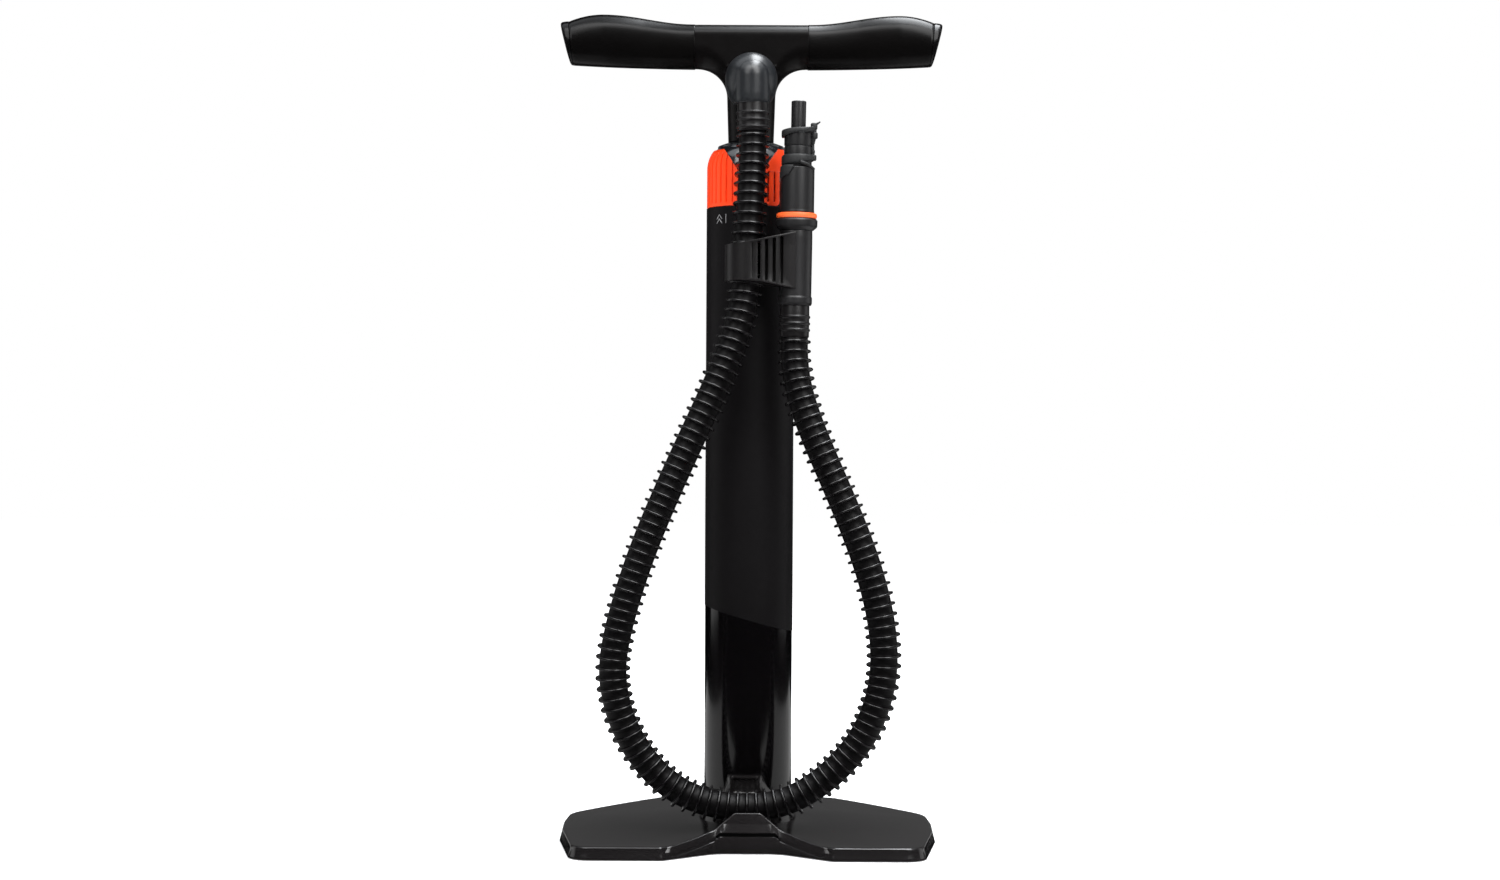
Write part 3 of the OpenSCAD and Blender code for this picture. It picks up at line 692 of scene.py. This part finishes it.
def make_collar():
    """Grooved ring round the cap: V notches front and back, a clip slot on two sides."""
    grooves, depth = 38, 1.25
    low = BARREL_HIGH.z + 0.15
    ledge = 477.0
    heights = [low + 0.4, low + 2.2, low + 3.2, low + 4.2, 460, 464, 468, 472, 475,
               ledge - 0.3, ledge + 0.1, 478.5]
    outer = [(COLLAR_R - 0.35, low)] + [(COLLAR_R, z) for z in heights] + shoulder(COLLAR_R, 17.8, 50)
    tip = outer[-1]
    profile = outer + [(tip[0] - 0.7, tip[1] + 0.1), (tip[0] - 1.1, tip[1] - 0.5)]
    profile += shoulder(COLLAR_R - 1.7, 16.6, 47)[::-1] + [(COLLAR_R - 1.7, low)]
    across = [(-1.9, 0), (-0.85, 0), (-0.68, 0.3), (-0.56, 1), (0.56, 1), (0.68, 0.3), (0.85, 0), (1.9, 0)]
    rings = []
    for k in range(grooves):
        for offset, share in across:
            azimuth = math.tau * (k + 0.5) / grooves + offset / COLLAR_R
            plain = azimuth < math.pi
            ring = []
            for j, (r, z) in enumerate(profile):
                if j < len(outer):
                    top = ledge if plain else 492.0
                    ends = smoothstep((z - low - 2.2) / 1.0) * smoothstep((top - z) / (0.4 if plain else 3.0))
                    r -= depth * share * ends
                    if plain and z < ledge:
                        r -= 0.35
                ring.append((r * math.sin(azimuth), -r * math.cos(azimuth), z))
            rings.append(ring)
    rings.append(rings[0])
    collar = loft("grooved_collar", rings, closed_ends=False)
    wedge = [(-22.2, 499), (-9, 477), (8.7, 477), (22.8, 499)]
    slot = [(-6.5, 450), (2.6, 450), (2.6, ledge), (-3.4, ledge), (-3.4, 456), (-3.8, 454.4),
            (-4.8, 453.2), (-6.5, 452.6)]
    cutters = []
    for side in (0, math.pi):
        turn = Matrix.Rotation(side, 4, "Z")
        cutters.append(loft("wedge", [[(x, y, z) for x, z in wedge] for y in (-40, -12)], turn))
        swing = turn @ Matrix.Rotation(math.radians(47.5), 4, "Z")
        cutters.append(loft("slot", [[(x, y, z) for x, z in slot] for y in (-40, -27)], swing))
    crease(cut_by(collar, cutters, 0.25, 35), 40)
    piece(collar, "pump_body", "orange", "cap_collar")


# ---- base ----
def base_outline():
    """Closed plan of the base, corners rounded, as evenly spaced points."""
    w, d = BASE_HALF_W, BASE_HALF_D
    half = [(22, -69, 22), (58, -d, 6), (w - 14.3, -d, 15), (w - 1.6, -18, 40), (w - 0.6, 14, 12),
            (w - 2.5, 51, 20), (65, d - 1, 12)]
    corners = half + [(-x, y, r) for x, y, r in half[::-1]]
    outline = [Vector(p) for p in rounded(corners, closed=True, steps=14)]
    outline.append(outline[0])
    run = lengths(outline)
    count = 640
    out, i = [], 0
    for k in range(count):
        s = run[-1] * k / count
        while run[i + 1] < s:
            i += 1
        out.append(outline[i].lerp(outline[i + 1], (s - run[i]) / (run[i + 1] - run[i])))
    return out


def rest_height(x, y):
    """Height of the base's upper skin: low at the front and sides, domed to the middle and the back."""
    across = 1 - (x / BASE_HALF_W) ** 2
    along = smoothstep((y + BASE_HALF_D) / 130)
    saddle = smoothstep((52 - abs(x)) / 30) * smoothstep((y + 84) / 20) * smoothstep((10 - y) / 40)
    return 9.2 + 7.9 * across * along + 1.6 * saddle


def make_base_skin():
    outline = base_outline()
    count = len(outline)
    normals = []
    for i in range(count):
        along = (outline[(i + 1) % count] - outline[i - 1]).normalized()
        normals.append(Vector((-along.y, along.x)))
    rings = []

    def ring(inset, height):
        made = []
        for p, n in zip(outline, normals):
            q = p + n * inset
            made.append((q.x, q.y, height(q.x, q.y)))
        rings.append(made)

    foot = 0.45
    lip = 1.4
    lean = 1.8
    hole_r = 30
    for inset, z in ((3.0, foot), (0.5, foot), (0.15, foot + 0.15), (0, foot + 0.5)):
        ring(inset, lambda x, y, z=z: z)
    for share, inset in ((0.25, 0.55), (0.5, 1.15), (0.75, 1.6), (1.0, lean)):
        ring(inset, lambda x, y, s=share: foot + 0.5 + s * (rest_height(x, y) - lip - foot - 0.5))
    for a in (15, 30, 45, 60, 75, 90):
        t = math.radians(a)
        ring(lean + lip * (1 - math.cos(t)), lambda x, y, t=t: rest_height(x, y) - lip * (1 - math.sin(t)))
    edge = rings[-1]
    steps = 26
    for i in range(1, steps + 1):
        t = i / steps
        made = []
        for x, y, _ in edge:
            c = Vector((x, y)).normalized() * hole_r
            q = Vector((x, y)).lerp(c, t)
            made.append((q.x, q.y, rest_height(q.x, q.y)))
        rings.append(made)
    wall = 3.0
    for i in range(steps, -1, -4):
        t = i / steps
        made = []
        for (x, y, _), n in zip(edge, normals):
            start = Vector((x, y)) + n * 1.2
            c = Vector((x, y)).normalized() * hole_r
            q = start.lerp(c, t)
            made.append((q.x, q.y, rest_height(q.x, q.y) - wall))
        rings.append(made)
    rings.append(rings[0])
    return loft("base_skin", rings, closed_ends=False)


def front_edge():
    """Points of the base's front edge, from the middle outwards."""
    return sorted((p.x, p.y) for p in base_outline() if p.y < -60 and 0 <= p.x <= 62)


def tab_height(x):
    """Top of the front wall: a tab in the middle that falls in two slopes to the foot rests."""
    def raw(x):
        x = abs(x)
        if x < 9.2:
            return 28.2
        if x < 22.5:
            return 28.2 - 11.2 * (x - 9.2) / 13.3
        return 8.8 + 8.2 * max(0.0, (57 - x) / 34.5) ** 1.5

    reach = 1.2
    return sum(raw(x + reach * (k / 4)) for k in range(-4, 5)) / 9


def make_front_wall():
    """Front wall with a shadow gap, a sloping band above it and the tab that keeps the hose in place."""
    edge = front_edge()
    half = 59.0
    columns = 236
    rings = []
    for i in range(columns + 1):
        x = -half + 2 * half * i / columns
        top = tab_height(x)
        front = lookup(edge, abs(x))
        sunk = 2.4 * (1 - smoothstep((half - abs(x)) / 9))
        band_low = max(5.2, min(15.2, top - 4.6))
        band_top = min(20.8, top - 1.1)
        face, gap_low, gap_high = band_low - 3.5, band_low - 3.0, band_low - 0.5
        gap_deep = 2.2 * smoothstep((22.6 - abs(x)) / 0.3)
        gap_deep_high = 2.2 * smoothstep((20.8 - abs(x)) / 0.3)
        back = 2.5 - 1.4 * smoothstep((abs(x) - 12) / 12)
        floor = rest_height(x, front + 9) - 2.2
        points = [(0.3, 1.1), (0.0, 1.5), (0.0, face), (0.25, gap_low), (0.3 + gap_deep, gap_low + 0.02),
                  (0.3 + gap_deep_high, gap_high), (0.1, gap_high + 0.02), (0.0, band_low)]
        for share in (0.03, 0.1, 0.5, 0.9, 0.97, 1.0):
            points.append((back * share, band_low + (band_top - band_low) * share))
        points += [(back + 0.12, top - 0.7), (back + 0.4, top - 0.2),
                  (back + 0.9, top), (back + 1.9, top), (back + 2.4, top - 0.2), (back + 2.7, top - 0.8),
                  (back + 2.9, floor), (back + 2.7, floor - 0.6), (4.0, 1.1)]
        rings.append([(x, front + sunk + dy, z) for dy, z in points])
    return crease(loft("front_wall", rings), 50)


def make_gap_painted_shade():
    """Painted shade: a near-black strip set at the bottom of the shadow gap in the front wall."""
    edge = front_edge()
    low, high = 12.24, 14.68
    half = 22.0
    columns = 88
    rings = []
    for i in range(columns + 1):
        x = -half + 2 * half * i / columns
        top = high if abs(x) < 20.4 else high - 2.2 * (abs(x) - 20.4) / 1.6
        front = lookup(edge, abs(x)) + 0.5
        rings.append([(x, front, low), (x, front, top), (x, front + 0.6, top), (x, front + 0.6, low)])
    piece(crease(loft("front_gap_painted_shade", rings), 30), "pump_body", "gap_painted_shade_black")


def make_socket():
    r = BARREL_R
    points = [(r + 0.05, 6), (r + 0.05, 38, 0.3), (r + 2.3, 38, 0.9), (r + 2.9, 20, 5), (35.5, 12, 2),
              (42, 9, 4), (56, 6.5, 6), (58, 5)]
    return lathe("socket", rounded(points, closed=True, steps=6), 128)


def make_lug():
    """Catch on the front of the socket, flared at its foot, with a shallow window."""
    # height and half width there
    rows = [(28, 25), (30, 22.6), (32, 20.4), (34, 18.2), (36, 16.4), (38, 15), (40, 14), (42, 13.3),
            (44, 12.8), (45.6, 12.5), (46.4, 12.4), (47.2, 12.3), (48, 12.2), (48.8, 12.2), (49.5, 12),
            (50, 11.6)]
    shift = 2.0
    columns = 36
    rings = []
    for front, radius in ((True, BARREL_R + 3.5), (False, BARREL_R + 0.1)):
        for z, half in rows if front else rows[::-1]:
            ring = []
            for i in range(columns + 1):
                x = half * (2 * i / columns - 1) - shift * smoothstep((z - 33) / 8)
                inside = smoothstep((8.6 - abs(x + shift)) / 0.9)
                window = inside * smoothstep((z - 36) / 1.5) * smoothstep((48.4 - z) / 1.2)
                edge = smoothstep(half * (1 - abs(2 * i / columns - 1)) / 1.2)
                post = smoothstep((z - 31) / 5) * (1 - smoothstep(abs(abs(x + shift) - 10.4) / 1.7))
                lip = 1 - smoothstep(abs(z - 48) / 1.6)
                proud = 1.9 * post + 0.7 * lip * (1 - post) - 1.7 * window - 1.1 * (1 - edge)
                r = radius + (proud if front else 0)
                ring.append((x, -math.sqrt(r * r - x * x), z))
            rings.append(ring)
    strips = [[ring[i] for ring in rings] for i in range(columns + 1)]
    return crease(loft("lug", strips), 50)


# rubber pads: place of each on the right side
PAD_PLACES = ((106, -80), (117, 16), (67, 75))


def make_underside():
    """Ribs and pad bosses under the base."""
    parts = []
    for y in (-40.0, 40.0):
        parts.append(rib("rib", (-98, y, 3.5), (98, y, 3.5)))
    for x in (-57.0, 57.0):
        parts.append(rib("rib", (x, -66, 3.5), (x, 72, 3.5)))
    for x, y in PAD_PLACES:
        top = rest_height(x, y) - 2
        profile = rounded([(0, PAD_TOP), (10.3, PAD_TOP, 0.6), (9.6, top), (0, top)])
        for side in (-1, 1):
            parts.append(lathe("boss", profile, 40, Matrix.Translation((side * x, y, 0))))
    return parts


def rib(name, start, end):
    """Thin upright wall under the base from start to end, following the skin above it."""
    a, b = Vector(start), Vector(end)
    across = (b - a).normalized().cross(Vector((0, 0, 1))) * 0.9
    rings = []
    count = 24
    for i in range(count + 1):
        p = a.lerp(b, i / count)
        top = rest_height(p.x, p.y) - 1.5
        rings.append([(p.x - across.x, p.y - across.y, p.z), (p.x + across.x, p.y + across.y, p.z),
                      (p.x + across.x * 1.3, p.y + across.y * 1.3, top),
                      (p.x - across.x * 1.3, p.y - across.y * 1.3, top)])
    return crease(loft(name, rings), 40)


def make_base():
    floor = lathe("floor_disc", rounded([(9, 5), (33, 5), (33, 8), (9, 8)], closed=True), 96)
    parts = [make_base_skin(), make_front_wall(), make_socket(), make_lug(), floor, *make_underside()]
    piece(joined("moulded_base", parts), "pump_body", "base_black", "base_plate")
    # painted shade: dark strip in the front wall's shadow gap
    make_gap_painted_shade()


def make_pads():
    profile = rounded([(0, 0.01), (8.6, 0.01, 0.5), (9, PAD_TOP), (0, PAD_TOP)])
    parts = []
    for x, y in PAD_PLACES:
        for side in (-1, 1):
            parts.append(lathe("pad", profile, 48, Matrix.Translation((side * x, y, 0))))
    piece(joined("rubber_pads", parts), "pump_body", "pad_rubber", "foot_pads")


# ---- handle ----
CROWN = 0.73
GRIP_TOP = HUB_HIGH.z
GRIP_FOOT = 553.0
BAR_DEEP = 17.5
HUB_FILLET = 21.0
STEM_HALF = 17.3


def grip_top(t):
    if t < CROWN:
        return GRIP_TOP + 7 * math.sin(math.radians(90 * t / CROWN)) ** 2
    return GRIP_TOP + 7 - 5 * ((t - CROWN) / (1 - CROWN)) ** 2


def grip_section(t, x, size, lean=0.1, sides=72):
    """Rounded section of the grip, t along it; its outer end leans in towards the bottom."""
    t = min(t, 1)
    top, low = grip_top(t), GRIP_FOOT + 2.4 * t * t
    deep = BAR_DEEP - 1.2 * math.sin(math.pi * min(t / CROWN, 1))
    power = 2.25 + 0.35 * max(0.0, 1 - t / 0.4)
    out = []
    for a, b in superellipse(deep * size, (top - low) / 2 * size, power, sides):
        z = (top + low) / 2 + b
        out.append((x - lean * t ** 4 * (top - z), a, z))
    return out


# end plug of a grip: share of its length, size there
PLUG = [(0, 0.9), (0, 0.982), (0.03, 0.996), (0.3, 0.99), (0.6, 0.975), (0.8, 0.95), (0.92, 0.91),
        (0.98, 0.86), (1.01, 0.78), (1.03, 0.55), (1.04, 0.3), (1.04, 0.05)]


def make_grips():
    end = GRIP_HIGH.x
    steps = 60
    for side, name in ((-1, "left"), (1, "right")):
        flip = Matrix.Scale(side, 4, (1, 0, 0))
        seam = HUB_HALF + 0.1
        rings = [grip_section(0, seam, 0.9), grip_section(0, seam, 0.992), grip_section(0, seam + 0.15, 1)]
        for i in range(steps + 1):
            t = i / steps
            rings.append(grip_section(t, seam + 0.4 + t * (end - seam - 0.8), 1))
        rings.append(grip_section(1, end - 0.15, 0.99))
        rings.append(grip_section(1, end - 0.15, 0.9))
        grip = crease(loft(name + "_grip_shell", rings, flip), 50)
        piece(grip, "handle", "grip_black", name + "_grip")
        start = end + 0.15
        long = CAP_END + 1.1 - start
        rings = []
        for share, size in PLUG:
            rings.append(grip_section(1, start + long * share, size, 0.1 + 0.15 * min(share, 1)))
        cap = crease(loft(name + "_end_plug", rings, flip), 50)
        piece(cap, "handle", "plug_black", name + "_end_cap")


def hub_rows():
    """Heights and half widths of the hub's outline, from the stem's foot to the crossbar's top."""
    foot = HUB_LOW.z
    arc_z = GRIP_FOOT - HUB_FILLET
    stem_foot = 16.3
    steps = 24
    rows = [(foot, stem_foot)]
    for z in (foot + 4, foot + 12, foot + 22, arc_z):
        rows.append((z, stem_foot + (z - foot) / (arc_z - foot)))
    for k in range(1, steps + 1):
        t = math.radians(90 * k / steps)
        rows.append((arc_z + HUB_FILLET * math.sin(t), STEM_HALF + HUB_FILLET - HUB_FILLET * math.cos(t)))
    rows.append((GRIP_FOOT + 0.01, HUB_HALF))
    for k in range(1, steps + 1):
        t = math.radians(90 * k / steps)
        rows.append((GRIP_FOOT + (GRIP_TOP - GRIP_FOOT) * math.sin(t), HUB_HALF))
    return rows


def hub_depth(x, z, wide):
    """How far the hub's front stands off its middle plane: a pillow with a flat face."""
    fillet_x, fillet_z = STEM_HALF + HUB_FILLET, GRIP_FOOT - HUB_FILLET
    if z <= fillet_z:
        inside, turn = wide - abs(x), 0.0
    elif abs(x) < fillet_x:
        inside = math.hypot(fillet_x - abs(x), z - fillet_z) - HUB_FILLET
        turn = math.degrees(math.atan2(z - fillet_z, fillet_x - abs(x)))
    else:
        inside, turn = z - GRIP_FOOT, 90.0
    # angle round the fillet's centre, and how far in the rounding reaches there
    reach = [(0, wide), (20, 13), (44, 9.3), (60, 11), (81, 14), (90, 15)]
    side = min(1.0, max(0.0, inside) / lookup(reach, turn))
    if side < 1:
        side *= 1 - 0.08 * smoothstep((turn - 15) / 15) * smoothstep((88 - turn) / 8)
    crown = min(1.0, (GRIP_TOP - z) / 9)
    return BAR_DEEP * math.sqrt(1 - (1 - crown) ** 2) * math.sqrt(1 - (1 - side) ** 2)


def make_hub():
    """Crossbar that runs down into the round stem in two crisp arcs, with a boss for the swivel."""
    columns = 72
    rings = []
    for z, wide in hub_rows():
        half = [wide * math.sin(math.radians(180 * k / columns - 90)) for k in range(columns + 1)]
        front = [(x, -hub_depth(x, z, wide), z) for x in half]
        back = [(x, -y, z) for x, y, _ in front[::-1]]
        rings.append(front + back)
    shell = crease(loft("hub_shell", rings), 40)
    boss = lathe("boss", rounded([(0, 5), (15.2, 5), (15.2, 19.9, 0.8), (0, 19.9)]), 96, SWIVEL)
    hub = joined("hub_shell", [shell, boss])
    piece(hub, "handle", "hub_black", "handle_hub")


def make_elbow():
    """Rounded hood with a teardrop outline, and a capsule in front that turns down into the hose."""
    radius = 18.5
    deep = 19.2
    steps = 48
    # distance below the swivel's axis and half width there
    tail = [(0.0, radius), (6.5, 18.2), (12.5, 16.4), (16.0, 14.4), (18.5, 12.0), (deep, 0.0)]
    turns = [math.radians(180 * k / steps) for k in range(steps)]
    outline = [(radius * math.cos(a), radius * math.sin(a)) for a in turns]
    for k, a in enumerate(turns):
        drop = deep * math.sin(a)
        wide = lookup(tail, drop)
        outline.append((-wide if k < steps // 2 else wide, -drop))
    rings = []
    for y, size in ((-24.0, 0.84), (-24.6, 0.9), (-26.5, 0.97), (-28.0, 0.99), (-30.0, 1.0)):
        rings.append([(x * size, y, SWIVEL_Z + z * size) for x, z in outline])
    for k in range(1, 17):
        t = math.radians(90 * k / 16)
        size = max(0.02, math.cos(t))
        rings.append([(x * size, -30.0 - 22.0 * math.sin(t), SWIVEL_Z + z * size) for x, z in outline])
    hood = loft("elbow_hood", rings)
    neck = 12.5
    dome = [(neck * math.cos(math.radians(t)), neck * math.sin(math.radians(t))) for t in range(0, 86, 5)]
    post = [(0, -19.3), (11.4, -19.3, 0.6), (12.2, -17.5, 1.5), (neck, -13)] + dome + [(0, neck)]
    capsule = lathe("capsule", rounded(post), 96, Matrix.Translation((NECK_X * 0.5, NECK_Y, SWIVEL_Z)))
    back = rounded([(0, 23.5), (15.6, 23.5, 0.6), (15.6, 30), (0, 30)])
    elbow = fused("elbow_hood", [hood, capsule, lathe("back", back, 96, SWIVEL)], 0.5, 7)
    piece(elbow, "hose_set", "elbow_grey", "swivel_elbow")
    ring = rounded([(9.05, 20.05), (15.5, 20.05, 0.6), (15.5, 23.35, 0.6), (9.05, 23.35)], closed=True)
    piece(lathe("union_ring", ring, 96, SWIVEL), "handle", "satin_black", "union_collar")


# ---- connector ----
def make_connector():
    made = []

    def part(name, look, body, node, *points):
        obj = crease(lathe(name, rounded(points, closed=True), 80, CONNECTOR), 55)
        made.append(piece(obj, body, look, node))

    part("connector_tube", "charcoal", "hose_set", "connector_body",
         (7, 0, 0.3), (11.3, 0, 0.7), (11.9, 1.6, 0.8), (11.9, 5.2, 0.8), (11.35, 6.4, 0.8),
         (11.35, 47.5, 1.5), (11.2, 52.2, 0.3), (9.0, 52.2, 0.2), (9.0, 87, 0.5), (7, 87))
    part("lock_flange", "charcoal", "coupling", "lock_ring",
         (9.06, 52.4), (11.6, 52.4, 0.6), (14.6, 54.9, 2.2), (14.7, 59.4, 1.1), (13.6, 60.7, 0.3),
         (9.06, 60.7))
    part("orange_gasket", "orange_rubber", "coupling", "gasket_ring",
         (9.1, 60.9), (13.7, 60.9, 0.6), (14.3, 62.2, 0.9), (14.1, 63.9, 0.7), (13.0, 64.5, 0.3),
         (9.1, 64.5))
    part("upper_sleeve", "charcoal", "coupling", "coupling_sleeve",
         (9.06, 64.7), (12.4, 64.7, 0.5), (12.1, 66.5, 0.8), (11.9, 96, 0.6), (11.0, 96.8, 0.4),
         (8.3, 96.8), (8.3, 88), (9.06, 88))
    part("stepped_adapter", "charcoal", "adapter", "nozzle_adapter",
         (3.5, 88.5), (8.24, 88.5, 0.4), (8.24, 97.2), (9.8, 97.2, 0.3), (9.8, 110.6, 0.3),
         (9.3, 110.9, 0.2), (9.3, 111.5, 0.2), (9.7, 111.8, 0.3), (9.7, 120, 0.9), (8.7, 122, 0.8),
         (5.4, 122.2, 0.5), (5.15, 123.5, 0.6), (5.2, 142.6, 0.5), (4.7, 143, 0.3), (3.6, 143, 0.2))
    return made


def tube_along(name, points, radii, place=None, sides=20, steps=8):
    """Round tube along a soft curve; radii give its radius at points spread evenly along it."""
    path = curve_through([Vector(p) * MM for p in points], steps)
    path = [p / MM for p in path]
    rings = []
    count = len(path)
    for i, p in enumerate(path):
        along = (path[min(i + 1, count - 1)] - path[max(i - 1, 0)]).normalized()
        t = i / (count - 1) * (len(radii) - 1)
        k = min(int(t), len(radii) - 2)
        size = radii[k] + (radii[k + 1] - radii[k]) * (t - k)
        side = along.cross(Vector((0, 0, 1)))
        if side.length < 0.05:
            side = along.cross(Vector((0, 1, 0)))
        side.normalize()
        up = side.cross(along)
        rings.append([tuple(p + size * (math.cos(a) * side + math.sin(a) * up))
                      for a in (math.tau * j / sides for j in range(sides))])
    return loft(name, rings, place)


def wrapped_band(name, rows, radius, thick, around_all):
    """Soft rubber band on the adapter: rows give azimuth from the front, middle height and half height."""
    steps = 12
    count = len(rows)
    samples = []
    for i in range(count if around_all else count - 1):
        near = range(i - 1, i + 3)
        if around_all:
            near = [j % count for j in near]
        else:
            near = [max(0, min(count - 1, j)) for j in near]
        a, b, c, d = (rows[j] for j in near)
        turn = (c[0] - b[0]) % 360
        for k in range(steps):
            u = k / steps
            samples.append((b[0] + turn * u, *(catmull(a[m], b[m], c[m], d[m], u) for m in (1, 2))))
    samples.append(samples[0] if around_all else rows[-1])
    section = superellipse(1, 1, 2.8, 20)
    rings = []
    for azimuth, middle, half in samples:
        t = math.radians(azimuth)
        wave = 0.25 * math.sin(2 * t + 0.6) + 0.12 * math.sin(5 * t)
        ring = []
        for u, v in section:
            r = radius + wave + thick / 2 * u
            ring.append((r * math.sin(t), -r * math.cos(t), middle + half * v))
        rings.append(ring)
    return loft(name, rings, CONNECTOR, closed_ends=not around_all)


def make_strap():
    """Leash: two uneven bands, knobs and a tail on the right, a loose strand and a tongue on the sleeve."""
    top = [(-180, 122, 1.7), (-90, 119.8, 2.9), (-60, 120.3, 2.4), (-30, 121.4, 1.9), (0, 122, 1.7),
           (40, 122.6, 1.7), (90, 123.8, 2.0), (140, 123, 1.7)]
    low = [(-180, 101.5, 2.0), (-90, 101, 3.6), (-45, 101.7, 3.4), (0, 102.2, 3.1), (45, 102.8, 2.3),
           (90, 103.4, 2.1), (140, 102.2, 2.0)]
    tongue = [(-70, 92.4, 4.4), (-50, 93.5, 4.0), (-30, 94.3, 3.3), (-15, 96.3, 1.0)]
    parts = [
        wrapped_band("band", top, 10.9, 2.2, True),
        wrapped_band("band", low, 10.7, 2.0, True),
        wrapped_band("tongue", tongue, 12.6, 1.3, False),
    ]
    strip = [(10.4, -1, 103), (10.4, -1.4, 108), (10.1, -1, 112), (10.9, -1.4, 118), (10.9, -1, 123),
             (11.2, -1, 126)]
    parts.append(tube_along("strip", strip, [1.6, 1.2, 1.1, 1.9, 1.8, 1.3], CONNECTOR))
    for x, z, r in ((10.9, 103.4, 2.1), (10.6, 107.6, 1.3), (11.3, 118.9, 2.3), (10.9, 125.4, 2.4)):
        bead = rounded([(0, -r), (r, -r, r * 0.95), (r, r, r * 0.95), (0, r)], steps=6)
        parts.append(lathe("bead", bead, 24, CONNECTOR @ Matrix.Translation((x, -1.4, z))))
    tail = [(11.2, -1, 126), (12.4, -1.4, 127.4), (13.6, -1.6, 127.2), (15.2, -1.8, 128.8)]
    parts.append(tube_along("tail", tail, [1.4, 0.9, 0.7, 0.45], CONNECTOR, 12))
    strand = [(1.5, -11.5, 99.8), (5.5, -11.2, 98.6), (9.0, -8.6, 96.9), (11.4, -5.0, 95.2)]
    parts.append(tube_along("strand", strand, [1.2, 1.1, 1.0, 0.8], CONNECTOR, 16))
    return piece(joined("leash", parts), "adapter", "leash_rubber", "adapter_strap")


# finger slots of the clip: place, half width, how far in
CLIP_SLOTS = ((1.5, 0.3, -63.8), (6.0, 1.0, -56.5), (11.2, 1.05, -56.5), (16.5, 1.1, -56.5),
              (21.8, 1.15, -56.5))


def make_clip():
    """Clip fixed on the connector's left side that closes round the hose, with finger slots in front."""
    hx, hy = -2.3, -49.3
    bore, outer = 13.5, 15.6
    end_x = 31.5
    plan = []
    for k in range(41):
        a = math.radians(150 + 122 * k / 40)
        plan.append((hx + outer * math.cos(a), hy + outer * math.sin(a)))
    front = [(8, -64.6), (18, -62.6, 8), (end_x, -59.1, 0.1), (end_x, -50), (24, -38.5), (14, -34.5),
             (2, -34)]
    plan += [tuple(p) for p in rounded([plan[-1], *front], steps=6)[1:]]
    for k in range(41):
        a = math.radians(92 - 302 * k / 40)
        plan.append((hx + bore * math.cos(a), hy + bore * math.sin(a)))

    def low(x):
        return 397.6 - 5.4 * max(0.0, x - 4) / 26

    def high(x):
        return 422.9 + 2.1 * smoothstep((x + 18) / 20) + 6.0 * max(0.0, x) / 27

    rings = []
    for share in (0.0, 0.02, 0.25, 0.5, 0.75, 0.98, 1.0):
        rings.append([(x, y, low(x) + (high(x) - low(x)) * share) for x, y in plan])
    sides = len(plan)
    verts = [p for ring in rings for p in ring]
    faces = side_faces(rings)
    faces.append(tuple(range(sides)))
    faces.append(tuple(range((len(rings) - 1) * sides, len(rings) * sides)))
    clip = new_object("hose_holder", verts, faces)
    cutters = []
    for x, half, back in CLIP_SLOTS:
        z0, z1 = low(x) + 1.6, high(x) - 1.4
        box = [(x - half, -72, z0), (x + half, -72, z0), (x + half, -72, z1), (x - half, -72, z1)]
        cutters.append(loft("slot", [box, [(px, back, pz) for px, _, pz in box]]))
    cutters.append(lathe("bore", [(0, -5), (11.2, -5), (11.2, 60), (0, 60)], 64, CONNECTOR))
    crease(cut_by(clip, cutters, 0.45, 40), 38)
    return piece(clip, "hose_set", "satin_black", "hose_clip")


# ---- CAD pieces that keep their shape ----
def dress_cad_nodes():
    """Procedural finishes for the CAD nodes that stay: inner parts, seals and screws."""
    slots = {row["node"]: row["material_slot"] for row in frame["record"]["subparts"]}
    for node, obj in frame["nodes"].items():
        look = LOOKS[slots[node]]
        if not obj.data.materials:
            obj.data.materials.append(look)
        for i in range(len(obj.data.materials)):
            obj.data.materials[i] = look


def make_floor():
    """Pale floor that glows with painted light: faintly near the pump, up to the surround's white away from
    it.
    """
    n = Nodes("pale_floor")
    n.link(n.colours(n.noise(3, 3), [(0.3, (0.92, 0.92, 0.92)), (0.7, (0.95, 0.95, 0.95))]),
           n.shader.inputs["Base Color"])
    n.shader.inputs["Roughness"].default_value = 0.75
    n.shader.inputs["Specular IOR Level"].default_value = 0.2
    away = n.add("ShaderNodeVectorMath", operation="LENGTH")
    n.link(n.place, away.inputs[0])
    # painted light: emission that rises with distance from the pump
    n.shader.inputs["Emission Color"].default_value = (1, 1, 1, 1)
    n.link(n.ramp(away.outputs["Value"], 0.1, 0.5, 0.2, 1.0), n.shader.inputs["Emission Strength"])
    size = 6000
    corners = [(-size, -size, -0.05), (size, -size, -0.05), (size, size, -0.05), (-size, size, -0.05)]
    floor = new_object("floor", corners, [(0, 1, 2, 3)])
    floor.data.materials.append(n.material)
    floor.visible_glossy = False


make_camera()
hose, hose_path, hose_length = make_hose()
upper_cuff, lower_cuff = make_hose_ends()
make_floor()
make_world()
make_lights()
make_base()
make_pads()
make_barrel()
make_wrap()
make_cap()
make_collar()
make_grips()
make_hub()
make_elbow()
connector_parts = make_connector()
strap = make_strap()
clip = make_clip()
dress_cad_nodes()
